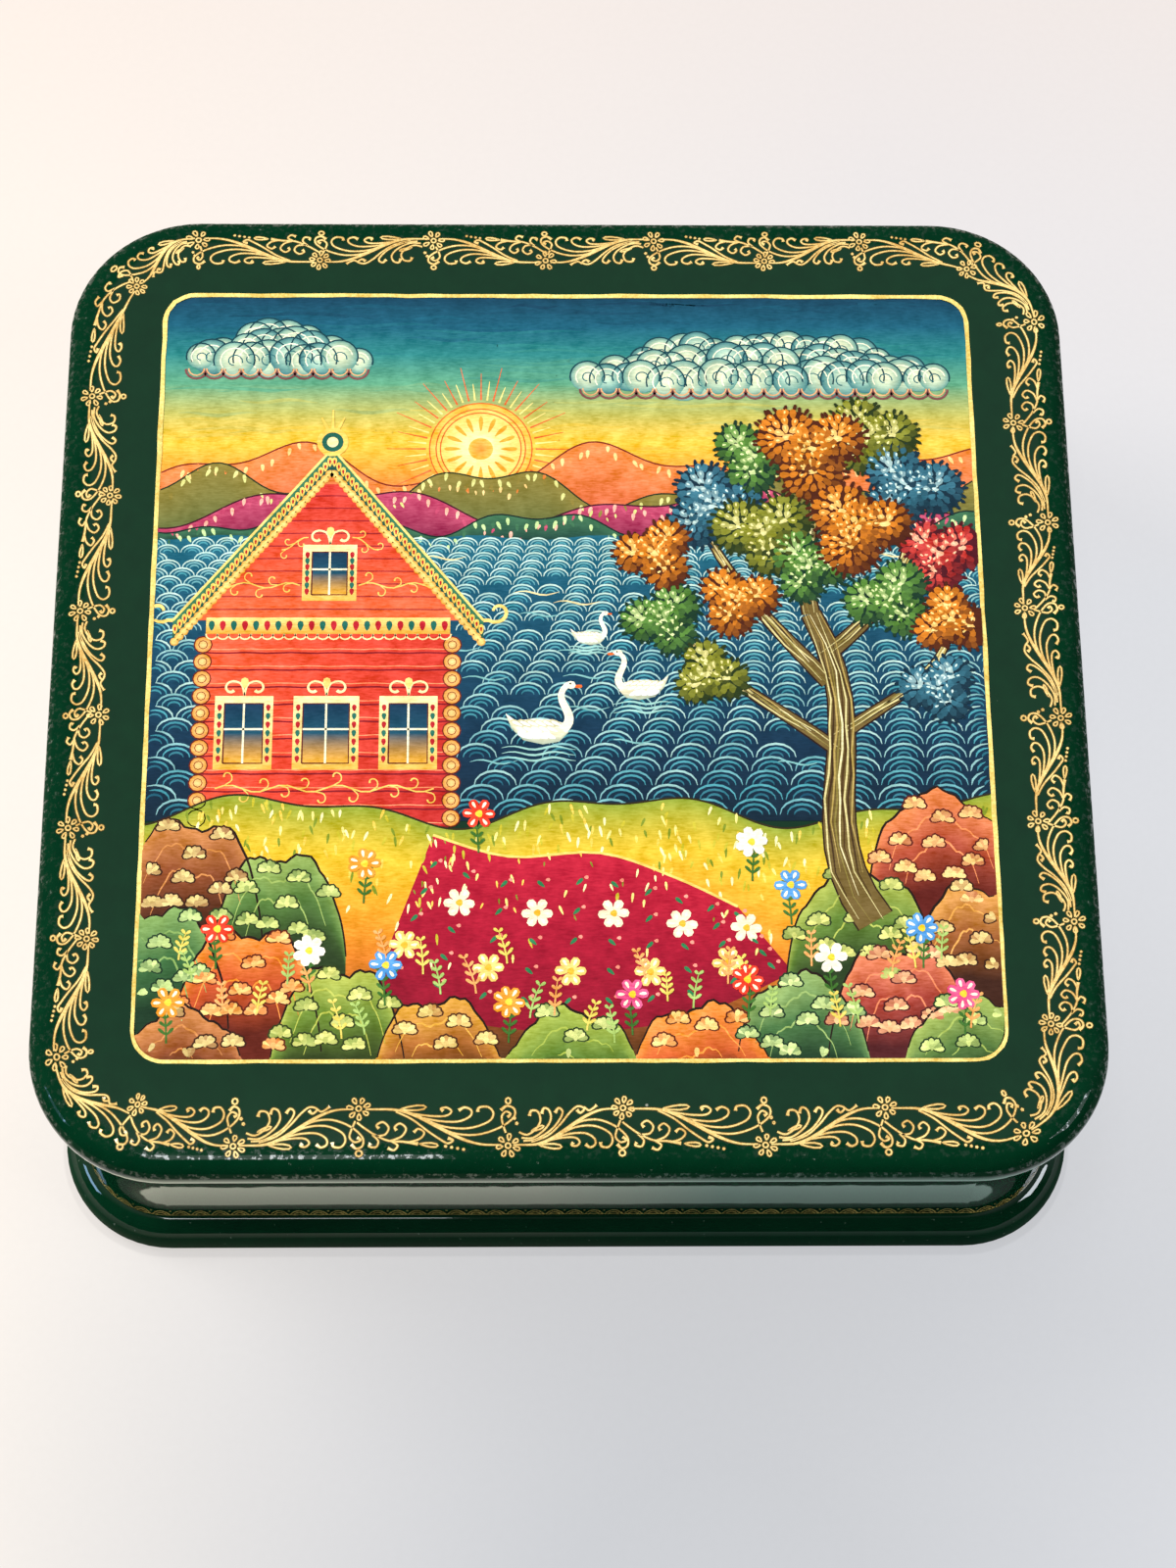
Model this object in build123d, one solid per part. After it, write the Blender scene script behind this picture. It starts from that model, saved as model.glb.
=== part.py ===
from build123d import *

import os
from math import radians, sqrt, tan

# A square hinged lacquer box of pressed, glued paper board: a coved body on a rounded plinth,
# with a lid that overhangs the walls and turns on a pin at the back.
# Millimetres. +Z is up, the front faces -Y, and the origin is the middle of the underside.

# Overall
box_side = 140.0
lid_thickness = 6.0
lid_corner_radius = 18.0
lid_edge_round = 2.8

# Plinth, the bottom board's moulded edge
plinth_height = 7.0
plinth_widest_height = 2.2

# Walls, hollowed outside by one long cove
waist_inset = 4.7
waist_height = 20.0
cove_radius = 62.0
wall_height = 24.5
wall_thickness = 5.4
wall_corner_radius = 11.8
edge_ease = 0.4

# Skirt glued under the lid
rim_height = 5.0

# Collar that lines the walls and stands up inside the skirt
collar_thickness = 1.6
collar_stand = 3.5
collar_clearance = 0.4

# Hinge
pin_radius = 0.8
pin_running_clearance = 0.05
pin_recess = 0.6
barrel_radius = 2.75
barrel_inset = 1.0
barrel_groove_clearance = 0.3
lid_knuckle_length = 50.0
hinge_end_margin = 3.5
knuckle_end_clearance = 0.3
knuckle_ease = 0.35
lid_open_degrees = 110.0
lid_stop_spare_degrees = 1.5

# How far a cutting shape runs past the piece that it cuts
overrun = 5.0

# Heights that follow
parting_height = plinth_height + wall_height
lid_underside = parting_height + rim_height
collar_top = parting_height + collar_stand

# Half widths that follow
half_side = box_side / 2
waist_half = half_side - waist_inset


def cove_half(height):
    """Half the width over the coved walls at a height."""
    rise = height - waist_height
    return waist_half + cove_radius - sqrt(cove_radius ** 2 - rise ** 2)


foot_half = cove_half(plinth_height)
wall_inner_half = cove_half(parting_height) - wall_thickness
collar_inner_half = wall_inner_half - collar_thickness
rim_inner_half = wall_inner_half + collar_clearance

# The walls, the plinth and the skirt all turn their corners about the same four upright lines.
corner_centre = foot_half - wall_corner_radius

# Hinge places that follow
hinge_y = cove_half(parting_height) - barrel_inset
groove_radius = barrel_radius + barrel_groove_clearance
lid_knuckle_half = lid_knuckle_length / 2
body_knuckle_start = lid_knuckle_half + knuckle_end_clearance
body_knuckle_end = corner_centre - hinge_end_margin
groove_end = body_knuckle_end + knuckle_end_clearance
pin_length = 2 * (body_knuckle_end - pin_recess)
stop_bevel_degrees = (lid_open_degrees + lid_stop_spare_degrees) / 2


def turned_square(half):
    """A square path of this half width, its corners turned about the shared corner lines."""
    c = corner_centre
    far = c + (half - c) * sqrt(0.5)
    edges = [
        Line((half, 0), (half, c)),
        ThreePointArc((half, c), (far, far), (c, half)),
        Line((c, half), (-c, half)),
        ThreePointArc((-c, half), (-far, far), (-half, c)),
        Line((-half, c), (-half, -c)),
        ThreePointArc((-half, -c), (-far, -far), (-c, -half)),
        Line((-c, -half), (c, -half)),
        ThreePointArc((c, -half), (far, -far), (half, -c)),
        Line((half, -c), (half, 0)),
    ]
    return Wire([line.edge() for line in edges])


def cove_arc(low, high):
    """The outline of the coved walls between two heights, as (distance out, height)."""
    middle = (low + high) / 2
    return ThreePointArc((cove_half(low), low), (cove_half(middle), middle), (cove_half(high), high))


def run_round(outline):
    """Carries a closed outline, drawn as (distance out, height), once round the box."""
    edges = [Plane.XZ * line.edge() for line in outline]
    profile = Face(Wire(edges))
    return sweep(profile, path=turned_square(wall_inner_half)).solid()


def along_hinge(radius, start, end):
    """A round bar on the hinge's axis between two places along X."""
    bar = Cylinder(radius, end - start)
    return Pos((start + end) / 2, hinge_y, parting_height) * Rot(0, 90, 0) * bar


def stop_bevel(side):
    """What is cut from the back edge above (side 1) or below (side -1) the hinge, so that the lid stops."""
    reach = half_side - hinge_y + overrun
    rise = side * reach * tan(radians(stop_bevel_degrees))
    far = half_side + overrun
    wedge = make_face(
        Polyline((hinge_y, parting_height), (far, parting_height + rise), (far, parting_height), close=True)
    )
    return extrude(Plane.YZ * wedge, amount=far, both=True)


def bottom_board():
    """The flat board under the walls, with its edge worked to a quarter-oval plinth."""
    ledge = half_side - foot_half
    below = plinth_widest_height
    core_half = wall_inner_half - collar_thickness
    oval = EllipticalCenterArc((foot_half, below), ledge, plinth_height - below)
    under = CenterArc((half_side - below, below), below, -90, 90)
    outline = [
        Line((core_half, 0), (half_side - below, 0)),
        under,
        oval,
        Line((foot_half, plinth_height), (core_half, plinth_height)),
        Line((core_half, plinth_height), (core_half, 0)),
    ]
    core = extrude(make_face(turned_square(core_half).edges()), amount=plinth_height)
    return run_round(outline) + core


def body_wall():
    """The four walls in one, open above and below, rebated and grooved for the hinge."""
    top = cove_half(parting_height)
    eased = parting_height - edge_ease
    outline = [
        Line((wall_inner_half, plinth_height), (foot_half, plinth_height)),
        cove_arc(plinth_height, eased),
        Line((cove_half(eased), eased), (top - edge_ease, parting_height)),
        Line((top - edge_ease, parting_height), (wall_inner_half, parting_height)),
        Line((wall_inner_half, parting_height), (wall_inner_half, plinth_height)),
    ]
    wall = run_round(outline) - stop_bevel(-1)
    wall -= along_hinge(barrel_radius, -body_knuckle_end, body_knuckle_end)
    return wall - along_hinge(groove_radius, -body_knuckle_start, body_knuckle_start)


def lid_rim():
    """The skirt under the lid, which carries the cove on upwards and shuts down on the walls."""
    bottom = cove_half(parting_height)
    eased = parting_height + edge_ease
    outline = [
        Line((rim_inner_half, parting_height), (bottom - edge_ease, parting_height)),
        Line((bottom - edge_ease, parting_height), (cove_half(eased), eased)),
        cove_arc(eased, lid_underside),
        Line((cove_half(lid_underside), lid_underside), (rim_inner_half, lid_underside)),
        Line((rim_inner_half, lid_underside), (rim_inner_half, parting_height)),
    ]
    rim = run_round(outline) - stop_bevel(1)
    rim -= along_hinge(barrel_radius, -lid_knuckle_half, lid_knuckle_half)
    for side in (-1, 1):
        ends = sorted((side * lid_knuckle_half, side * groove_end))
        rim -= along_hinge(groove_radius, *ends)
    return rim


def inner_collar():
    """The thin lining glued inside the walls, whose upper edge keeps the lid in place."""
    ease = edge_ease
    outline = [
        Line((collar_inner_half, plinth_height), (wall_inner_half, plinth_height)),
        Line((wall_inner_half, plinth_height), (wall_inner_half, collar_top - ease)),
        Line((wall_inner_half, collar_top - ease), (wall_inner_half - ease, collar_top)),
        Line((wall_inner_half - ease, collar_top), (collar_inner_half + ease, collar_top)),
        Line((collar_inner_half + ease, collar_top), (collar_inner_half, collar_top - ease)),
        Line((collar_inner_half, collar_top - ease), (collar_inner_half, plinth_height)),
    ]
    return run_round(outline)


def lid_board():
    """The flat lid, rounded all along its edge."""
    outline = RectangleRounded(box_side, box_side, lid_corner_radius)
    board = extrude(outline, amount=lid_thickness)
    rims = board.faces().sort_by(Axis.Z)
    edges = rims[0].edges() + rims[-1].edges()
    return Pos(0, 0, lid_underside) * fillet(edges, radius=lid_edge_round)


def knuckle(start, end, bore_radius):
    """One turned length of the hinge barrel, bored for the pin."""
    barrel = along_hinge(barrel_radius, start, end)
    barrel = chamfer(barrel.edges().filter_by(GeomType.CIRCLE), length=knuckle_ease)
    return barrel - along_hinge(bore_radius, start - overrun, end + overrun)


def hinge_pin():
    """The plain pin, tight in the body's knuckles and free in the lid's."""
    pin = along_hinge(pin_radius, -pin_length / 2, pin_length / 2)
    return chamfer(pin.edges().filter_by(GeomType.CIRCLE), length=pin_radius / 4)


pieces = {
    "bottom_board": bottom_board(),
    "body_wall": body_wall(),
    "inner_collar": inner_collar(),
    "lid_board": lid_board(),
    "lid_rim": lid_rim(),
    "lid_knuckle": knuckle(-lid_knuckle_half, lid_knuckle_half, pin_radius + pin_running_clearance),
    "body_knuckle_left": knuckle(-body_knuckle_end, -body_knuckle_start, pin_radius),
    "body_knuckle_right": knuckle(body_knuckle_start, body_knuckle_end, pin_radius),
    "hinge_pin": hinge_pin(),
}

os.makedirs("parts", exist_ok=True)
for name, piece in pieces.items():
    export_step(piece, f"parts/{name}.step")
print("hinge axis y", round(hinge_y, 3), "z", round(parting_height, 3))
print("inside half width", round(collar_inner_half, 3))
print("inside corner radius", round(collar_inner_half - corner_centre, 3))
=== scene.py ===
import random
from math import atan2, cos, hypot, pi, radians, sin, sqrt

import bpy
from mathutils import Matrix, Vector


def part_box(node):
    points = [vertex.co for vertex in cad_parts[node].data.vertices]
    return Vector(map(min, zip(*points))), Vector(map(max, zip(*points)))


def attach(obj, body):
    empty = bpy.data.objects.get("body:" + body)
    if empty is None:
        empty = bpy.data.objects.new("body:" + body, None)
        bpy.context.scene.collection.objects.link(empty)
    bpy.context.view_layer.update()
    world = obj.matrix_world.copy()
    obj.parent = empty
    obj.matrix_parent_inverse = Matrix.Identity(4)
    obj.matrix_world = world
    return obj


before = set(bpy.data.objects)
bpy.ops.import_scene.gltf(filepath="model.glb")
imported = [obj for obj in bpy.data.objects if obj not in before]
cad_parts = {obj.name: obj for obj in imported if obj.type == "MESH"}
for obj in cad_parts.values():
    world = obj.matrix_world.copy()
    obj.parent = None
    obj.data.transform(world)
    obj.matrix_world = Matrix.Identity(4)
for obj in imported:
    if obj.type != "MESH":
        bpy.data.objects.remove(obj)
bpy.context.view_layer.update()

MM = 0.001


def in_mm(box):
    """The lowest and the highest corner of a box, in millimetres."""
    return [[x / MM for x in corner] for corner in box]


LID_LOW, LID_HIGH = in_mm(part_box("lid_board"))
FOOT_LOW, FOOT_HIGH = in_mm(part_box("body_wall"))
LID_HALF = (LID_HIGH[0] - LID_LOW[0]) / 2
LID_TOP = LID_HIGH[2]
PARTING = FOOT_HIGH[2]

# Where the turned corners have their centres, and where the red inside ends
CORNER_CENTRE = 54.87
LID_CORNER_CENTRE = LID_HALF - 18.0
RIM_INNER = 61.4
COLLAR_OUTER = 61.0

# Finishes
GREEN = ("012111", "042d18")
RED = ("a51f14", "c22a1a")
# Pale specks that are partly wear and partly painted glints, dust, and the painted shade along the joint
WORN_AND_GLINT, DUSTY, JOINT_SHADE = "7d8878", "b9b7a6", "020a06"
# Heights and distances that nothing reaches, for what a finish does not have
TOO_HIGH, TOO_LOW, TOO_FAR = 99.0, -99.0, 999.0

# The room
ROOM_LIGHT, ROOM_DARK, ROOM_BACKDROP = 0.36, 0.02, 0.85
TABLE_GLOW = 0.85
TABLE_SIZE = 3.0
# Table colours, with painted light towards the window and a painted shadow near the front
TABLE_WARM, TABLE_COOL, TABLE_NEAR_SHADOW, TABLE_FAR = "fbf0e3", "dbdce0", "c4c5c8", "e8dad1"
WHITE, BLACK = (1, 1, 1, 1), (0, 0, 0, 1)

# The photograph's camera: where the object's lid edge lies, seen from the lens, in millimetres.
LID_EDGE_HEIGHT = 39.5
CAMERA_PITCH = 68.9
CAMERA_YAW = 0.052
CAMERA_ROLL = 0.048
CAMERA_DISTANCE = 426.7
CAMERA_ASIDE = -3.36
CAMERA_ABOVE = -14.4
LENS_PIXELS = 3208.0
PHOTO_HEIGHT = 1600
SENSOR_HEIGHT = 36.0


def add_camera():
    pitch = radians(CAMERA_PITCH)
    right = Vector((1, 0, 0))
    down = Vector((0, -sin(pitch), -cos(pitch)))
    ahead = Vector((0, cos(pitch), -sin(pitch)))
    unturn = Matrix.Rotation(-CAMERA_YAW, 3, "Z")
    place = unturn @ -(CAMERA_ASIDE * right + CAMERA_ABOVE * down + CAMERA_DISTANCE * ahead)
    right, down, ahead = unturn @ right, unturn @ down, unturn @ ahead
    across = cos(CAMERA_ROLL) * right - sin(CAMERA_ROLL) * down
    up = -(sin(CAMERA_ROLL) * right + cos(CAMERA_ROLL) * down)
    turn = Matrix((across, up, -ahead)).transposed().to_4x4()
    data = bpy.data.cameras.new("camera")
    data.sensor_fit = "VERTICAL"
    data.sensor_height = SENSOR_HEIGHT
    data.lens = SENSOR_HEIGHT * LENS_PIXELS / PHOTO_HEIGHT
    data.clip_start = 0.01
    camera = new_object("camera", data)
    place += Vector((0, 0, LID_EDGE_HEIGHT))
    camera.matrix_world = Matrix.Translation(place * MM) @ turn
    bpy.context.scene.camera = camera


def new_object(name, data):
    thing = bpy.data.objects.new(name, data)
    bpy.context.scene.collection.objects.link(thing)
    return thing


def new_mesh(name, points, edges=(), faces=()):
    mesh = bpy.data.meshes.new(name)
    mesh.from_pydata(points, edges, faces)
    return mesh


def mark(mesh, label, kind, values):
    """Gives the points of a mesh a named attribute."""
    if kind == "FLOAT_COLOR":
        values = [part for colour in values for part in colour]
    field = {"FLOAT_COLOR": "color", "FLOAT_VECTOR": "vector"}.get(kind, "value")
    mesh.attributes.new(label, kind, "POINT").data.foreach_set(field, values)


def linear(colour):
    """A web colour code as the linear colour that a shader takes. Any other colour stays as it is."""
    if not isinstance(colour, str):
        return colour
    parts = [int(colour[i : i + 2], 16) / 255 for i in (0, 2, 4)]
    return [x / 12.92 if x <= 0.04045 else ((x + 0.055) / 1.055) ** 2.4 for x in parts] + [1]


# Node helpers

def put(tree, kind, into=None, **settings):
    """Adds a node. A socket given for an input is linked to it, and anything else is set on it."""
    node = tree.nodes.new(kind)
    for name, value in settings.items():
        setattr(node, name, value)
    for key, value in (into or {}).items():
        if isinstance(value, bpy.types.NodeSocket):
            tree.links.new(value, node.inputs[key])
        else:
            node.inputs[key].default_value = value
    return node


def maths(tree, operation, *values):
    return put(tree, "ShaderNodeMath", dict(enumerate(values)), operation=operation).outputs[0]


def times(tree, product, *values):
    """All the values multiplied."""
    for value in values:
        product = maths(tree, "MULTIPLY", product, value)
    return product


def blended(tree, share, one, other, blend_type="MIX"):
    """A colour between two colours."""
    into = {"Factor": share, 6: linear(one), 7: linear(other)}
    return put(tree, "ShaderNodeMix", into, data_type="RGBA", blend_type=blend_type).outputs[2]


def between(tree, value, low, high):
    """0 below low, 1 above high and even between them."""
    return put(tree, "ShaderNodeMapRange", {0: value, 1: low, 2: high}).outputs[0]


def noise(tree, where, scale, detail=2.0, rough=0.5):
    into = {"Vector": where, "Scale": scale, "Detail": detail, "Roughness": rough}
    return put(tree, "ShaderNodeTexNoise", into).outputs["Fac"]


def stretched(tree, where, scale, turn=0.0):
    """The place stretched and turned, for streaks that run one way."""
    into = {"Vector": where, "Rotation": (0, 0, turn), "Scale": scale}
    return put(tree, "ShaderNodeMapping", into).outputs[0]


def parted(tree, vector):
    return put(tree, "ShaderNodeSeparateXYZ", {0: vector}).outputs


def new_group(name, inputs, outputs):
    """A shader node group with named inputs, and outputs that are all single values."""
    tree = bpy.data.node_groups.new(name, "ShaderNodeTree")
    for label, kind in inputs.items():
        tree.interface.new_socket(label, in_out="INPUT", socket_type="NodeSocket" + kind)
    for label in outputs:
        tree.interface.new_socket(label, in_out="OUTPUT", socket_type="NodeSocketFloat")
    return tree, tree.nodes.new("NodeGroupInput").outputs, tree.nodes.new("NodeGroupOutput").inputs


def hand_polish_group():
    """What oil lacquer rubbed by hand shows: hairlines, cloudiness and a few specks of dust."""
    tree, given, out = new_group("hand_polish", {"Position": "Vector"}, ("Cloud", "Hairlines", "Dust"))
    where = given["Position"]
    tree.links.new(noise(tree, where, 260.0, 4.0, 0.6), out["Cloud"])
    lines = noise(tree, stretched(tree, where, (1.0, 24.0, 24.0), 0.5), 160.0, 3.0, 0.6)
    more = noise(tree, stretched(tree, where, (30.0, 1.0, 30.0), -0.9), 120.0, 3.0, 0.6)
    both = maths(tree, "MAXIMUM", between(tree, lines, 0.66, 0.72), between(tree, more, 0.68, 0.73))
    tree.links.new(both, out["Hairlines"])
    cells = put(tree, "ShaderNodeTexVoronoi", {"Vector": where, "Scale": 190.0}, feature="F1").outputs
    pick = put(tree, "ShaderNodeSeparateColor", {0: cells["Color"]}).outputs[0]
    seldom = maths(tree, "GREATER_THAN", pick, 0.82)
    near = between(tree, cells["Distance"], 0.045, 0.02)
    tree.links.new(times(tree, seldom, near), out["Dust"])
    return tree


def distance_group():
    """How far out a point is on a square with turned corners, whose corners share one upright line each."""
    inputs = {"Position": "Vector", "Corner Centre": "Float"}
    tree, given, out = new_group("distance_out", inputs, ("Distance",))
    place = parted(tree, given["Position"])
    past = []
    for axis in ("X", "Y"):
        beyond = maths(tree, "SUBTRACT", maths(tree, "ABSOLUTE", place[axis]), given["Corner Centre"])
        past.append(maths(tree, "POWER", maths(tree, "MAXIMUM", beyond, 0.0), 2.0))
    reach = maths(tree, "SQRT", maths(tree, "ADD", *past))
    tree.links.new(maths(tree, "ADD", reach, given["Corner Centre"]), out["Distance"])
    return tree


HAND_POLISH = hand_polish_group()
DISTANCE_OUT = distance_group()


def distance_out(tree, where, corner_centre):
    into = {"Position": where, "Corner Centre": corner_centre * MM}
    return put(tree, "ShaderNodeGroup", into, node_tree=DISTANCE_OUT).outputs["Distance"]


def new_material(name):
    """A material, its node tree, its shader's inputs and its Object coordinates."""
    material = bpy.data.materials.new(name)
    material.use_nodes = True
    tree = material.node_tree
    shader = tree.nodes["Principled BSDF"].inputs
    return material, tree, shader, tree.nodes.new("ShaderNodeTexCoord").outputs["Object"]


def polish(tree, shader, where, roughness, ripple_strength=0.25):
    """Gives a shader its top coat of clear lacquer, with hairlines and ripples. Returns its masks."""
    coat = put(tree, "ShaderNodeGroup", {"Position": where}, node_tree=HAND_POLISH).outputs
    clear = {"Coat Weight": 1.0, "Coat Roughness": 0.035, "Coat IOR": 1.5, "Specular IOR Level": 0.0}
    for label, value in clear.items():
        shader[label].default_value = value
    rough = maths(tree, "MULTIPLY_ADD", coat["Hairlines"], 0.14, roughness)
    tree.links.new(rough, shader["Roughness"])
    waves = maths(tree, "MULTIPLY_ADD", noise(tree, where, 320.0, 1.0), 0.12, noise(tree, where, 55.0, 1.0))
    into = {"Height": waves, "Strength": ripple_strength, "Distance": 0.06 * MM}
    bump = put(tree, "ShaderNodeBump", into).outputs[0]
    tree.links.new(bump, shader["Normal"])
    tree.links.new(bump, shader["Coat Normal"])
    return coat


def lacquer(
    name, corner_centre, red_within=0.0, red_from=-1.0, red_to=1.0, edge_from=TOO_FAR, joint=TOO_LOW,
    dull=TOO_LOW, ripple_strength=0.25, handled_from=TOO_HIGH,
):
    """Dark green lacquer, red where the inside of the box is, rubbed through a little at its outer edge,
    where pale specks stand partly for wear and partly for painted glints, and with painted shade along the
    joint.
    """
    material, tree, shader, where = new_material(name)
    coat = polish(tree, shader, where, 0.32, ripple_strength)
    out = distance_out(tree, where, corner_centre)
    height = parted(tree, where)["Z"]

    def ramp(value, start, low, high):
        """0 to 1 between two distances in millimetres from a start."""
        return between(tree, value, (start + low) * MM, (start + high) * MM)

    within = maths(tree, "LESS_THAN", out, red_within * MM)
    above = maths(tree, "GREATER_THAN", height, red_from * MM)
    below = maths(tree, "LESS_THAN", height, red_to * MM)
    inside = times(tree, above, below, within)
    colour = blended(tree, inside, *[blended(tree, coat["Cloud"], *shades) for shades in (GREEN, RED)])
    grit = noise(tree, where, 1300.0, 3.0, 0.7)
    # Pale specks near the outer edge: partly wear, partly painted glints on the rounded edge.
    wear_and_glints = times(tree, between(tree, grit, 0.68, 0.74), ramp(out, edge_from, -3.0, -2.4), 0.5)
    colour = blended(tree, wear_and_glints, colour, WORN_AND_GLINT)
    colour = blended(tree, times(tree, coat["Dust"], 0.55), colour, DUSTY)
    # Painted shade along the parting line: the colour darkens and the coat fades within about a millimetre of
    # the joint.
    off_joint = ramp(maths(tree, "ABSOLUTE", maths(tree, "SUBTRACT", height, joint * MM)), 0.0, 0.35, 0.95)
    bend = ramp(out, edge_from, -4.6, -4.1)
    handled = times(tree, between(tree, grit, 0.6, 0.53), bend, ramp(height, handled_from, 0.0, 0.5))
    unhandled = maths(tree, "MULTIPLY_ADD", handled, -0.97, 1.0)
    clean = times(tree, off_joint, ramp(height, dull, 0.0, 1.8), unhandled)
    tree.links.new(blended(tree, off_joint, JOINT_SHADE, colour), shader["Base Color"])
    tree.links.new(maths(tree, "MULTIPLY_ADD", clean, 0.95, 0.05), shader["Coat Weight"])
    return material


def gold(name, dark, light):
    """Powdered gold in gum, laid on with a fine brush and lacquered over: fuller and thinner as it goes."""
    material, tree, shader, where = new_material(name)
    polish(tree, shader, where, 0.42)
    fine = times(tree, noise(tree, where, 2600.0, 3.0, 0.7), 0.6)
    broad = times(tree, noise(tree, where, 240.0, 2.0), 0.5)
    fullness = between(tree, maths(tree, "ADD", fine, broad), 0.38, 0.68)
    tree.links.new(blended(tree, fullness, dark, light), shader["Base Color"])
    shader["Metallic"].default_value = 0.0
    return material


def tempera():
    """Egg tempera under lacquer: the painted colour, mottled and streaked by the brush."""
    material, tree, shader, where = new_material("tempera")
    polish(tree, shader, where, 0.4)
    paint = put(tree, "ShaderNodeAttribute", {}, attribute_name="paint").outputs["Color"]
    streak = noise(tree, stretched(tree, where, (1.0, 5.0, 1.0), 0.3), 900.0, 3.0, 0.6)
    cloud = noise(tree, where, 380.0, 3.0, 0.6)
    both = maths(tree, "ADD", times(tree, streak, 0.5), times(tree, cloud, 0.5))
    dark, light = [
        put(tree, "ShaderNodeHueSaturation", {"Saturation": deep, "Value": high, "Color": paint}).outputs[0]
        for deep, high in ((1.12, 0.66), (1.0, 1.08))
    ]
    tree.links.new(blended(tree, between(tree, both, 0.36, 0.64), dark, light), shader["Base Color"])
    return material


def steel():
    """Drawn wire, dulled along its length."""
    material, tree, shader, where = new_material("pin_steel")
    lines = noise(tree, stretched(tree, where, (1.0, 40.0, 40.0)), 300.0, 3.0)
    tree.links.new(blended(tree, lines, "6d6c69", "b4b2ad"), shader["Base Color"])
    tree.links.new(maths(tree, "MULTIPLY_ADD", lines, 0.25, 0.22), shader["Roughness"])
    shader["Metallic"].default_value = 1.0
    return material


TEMPERA = tempera()
GOLD_PAINT = gold("gold_paint", "b98a40", "efcf84")
GOLD_SIZE = gold("gold_size", "3a3012", "5c4818")
GOLD_FRAME = gold("gold_frame", "c09c3e", "f0d880")
# Darker gold for the chain at the foot of the wall: painted shade, for its place under the lid's overhang.
SHADED_GOLD_CHAIN = gold("gold_chain_shaded", "5a5228", "b8a058")


def dress_nodes():
    """Gives every piece of the frame its finish."""
    board_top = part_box("bottom_board")[1][2] / MM
    finishes = {
        "lid_board": lacquer(
            "lid_lacquer", LID_CORNER_CENTRE, RIM_INNER, -1, LID_LOW[2] + 0.2, LID_HALF,
            handled_from=LID_TOP - 2.2,
        ),
        "lid_rim": lacquer("rim_lacquer", CORNER_CENTRE, RIM_INNER + 0.3, joint=PARTING),
        "body_wall": lacquer("wall_lacquer", CORNER_CENTRE, joint=PARTING, ripple_strength=0.8),
        "inner_collar": lacquer("collar_lacquer", CORNER_CENTRE, LID_HALF, -1, TOO_HIGH),
        "bottom_board": lacquer(
            "board_lacquer", CORNER_CENTRE, COLLAR_OUTER, board_top - 0.2, TOO_HIGH, LID_HALF, dull=5.0
        ),
        "lid_knuckle": lacquer("knuckle_lacquer", CORNER_CENTRE),
        "hinge_pin": steel(),
    }
    finishes["body_knuckle_left"] = finishes["body_knuckle_right"] = finishes["lid_knuckle"]
    for name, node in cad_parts.items():
        if not node.data.materials:
            node.data.materials.append(finishes[name])
        for i in range(len(node.data.materials)):
            node.data.materials[i] = finishes[name]


def add_room():
    """Soft daylight from behind the box, with the dark of whoever holds the camera on the near side."""
    world = bpy.data.worlds.new("room")
    bpy.context.scene.world = world
    world.use_nodes = True
    tree = world.node_tree
    way = parted(tree, tree.nodes.new("ShaderNodeTexCoord").outputs["Generated"])
    colour = blended(tree, between(tree, way["X"], -0.8, 0.8), (1.0, 0.9, 0.8, 1), (0.82, 0.93, 1.0, 1))
    beyond = between(tree, way["Y"], -0.28, 0.02)
    strength = maths(tree, "MULTIPLY_ADD", beyond, ROOM_LIGHT - ROOM_DARK, ROOM_DARK)
    seen = tree.nodes.new("ShaderNodeLightPath").outputs["Is Camera Ray"]
    unseen = times(tree, strength, maths(tree, "SUBTRACT", 1.0, seen))
    back = tree.nodes["Background"].inputs
    tree.links.new(colour, back["Color"])
    tree.links.new(maths(tree, "MULTIPLY_ADD", seen, ROOM_BACKDROP, unseen), back["Strength"])


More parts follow.
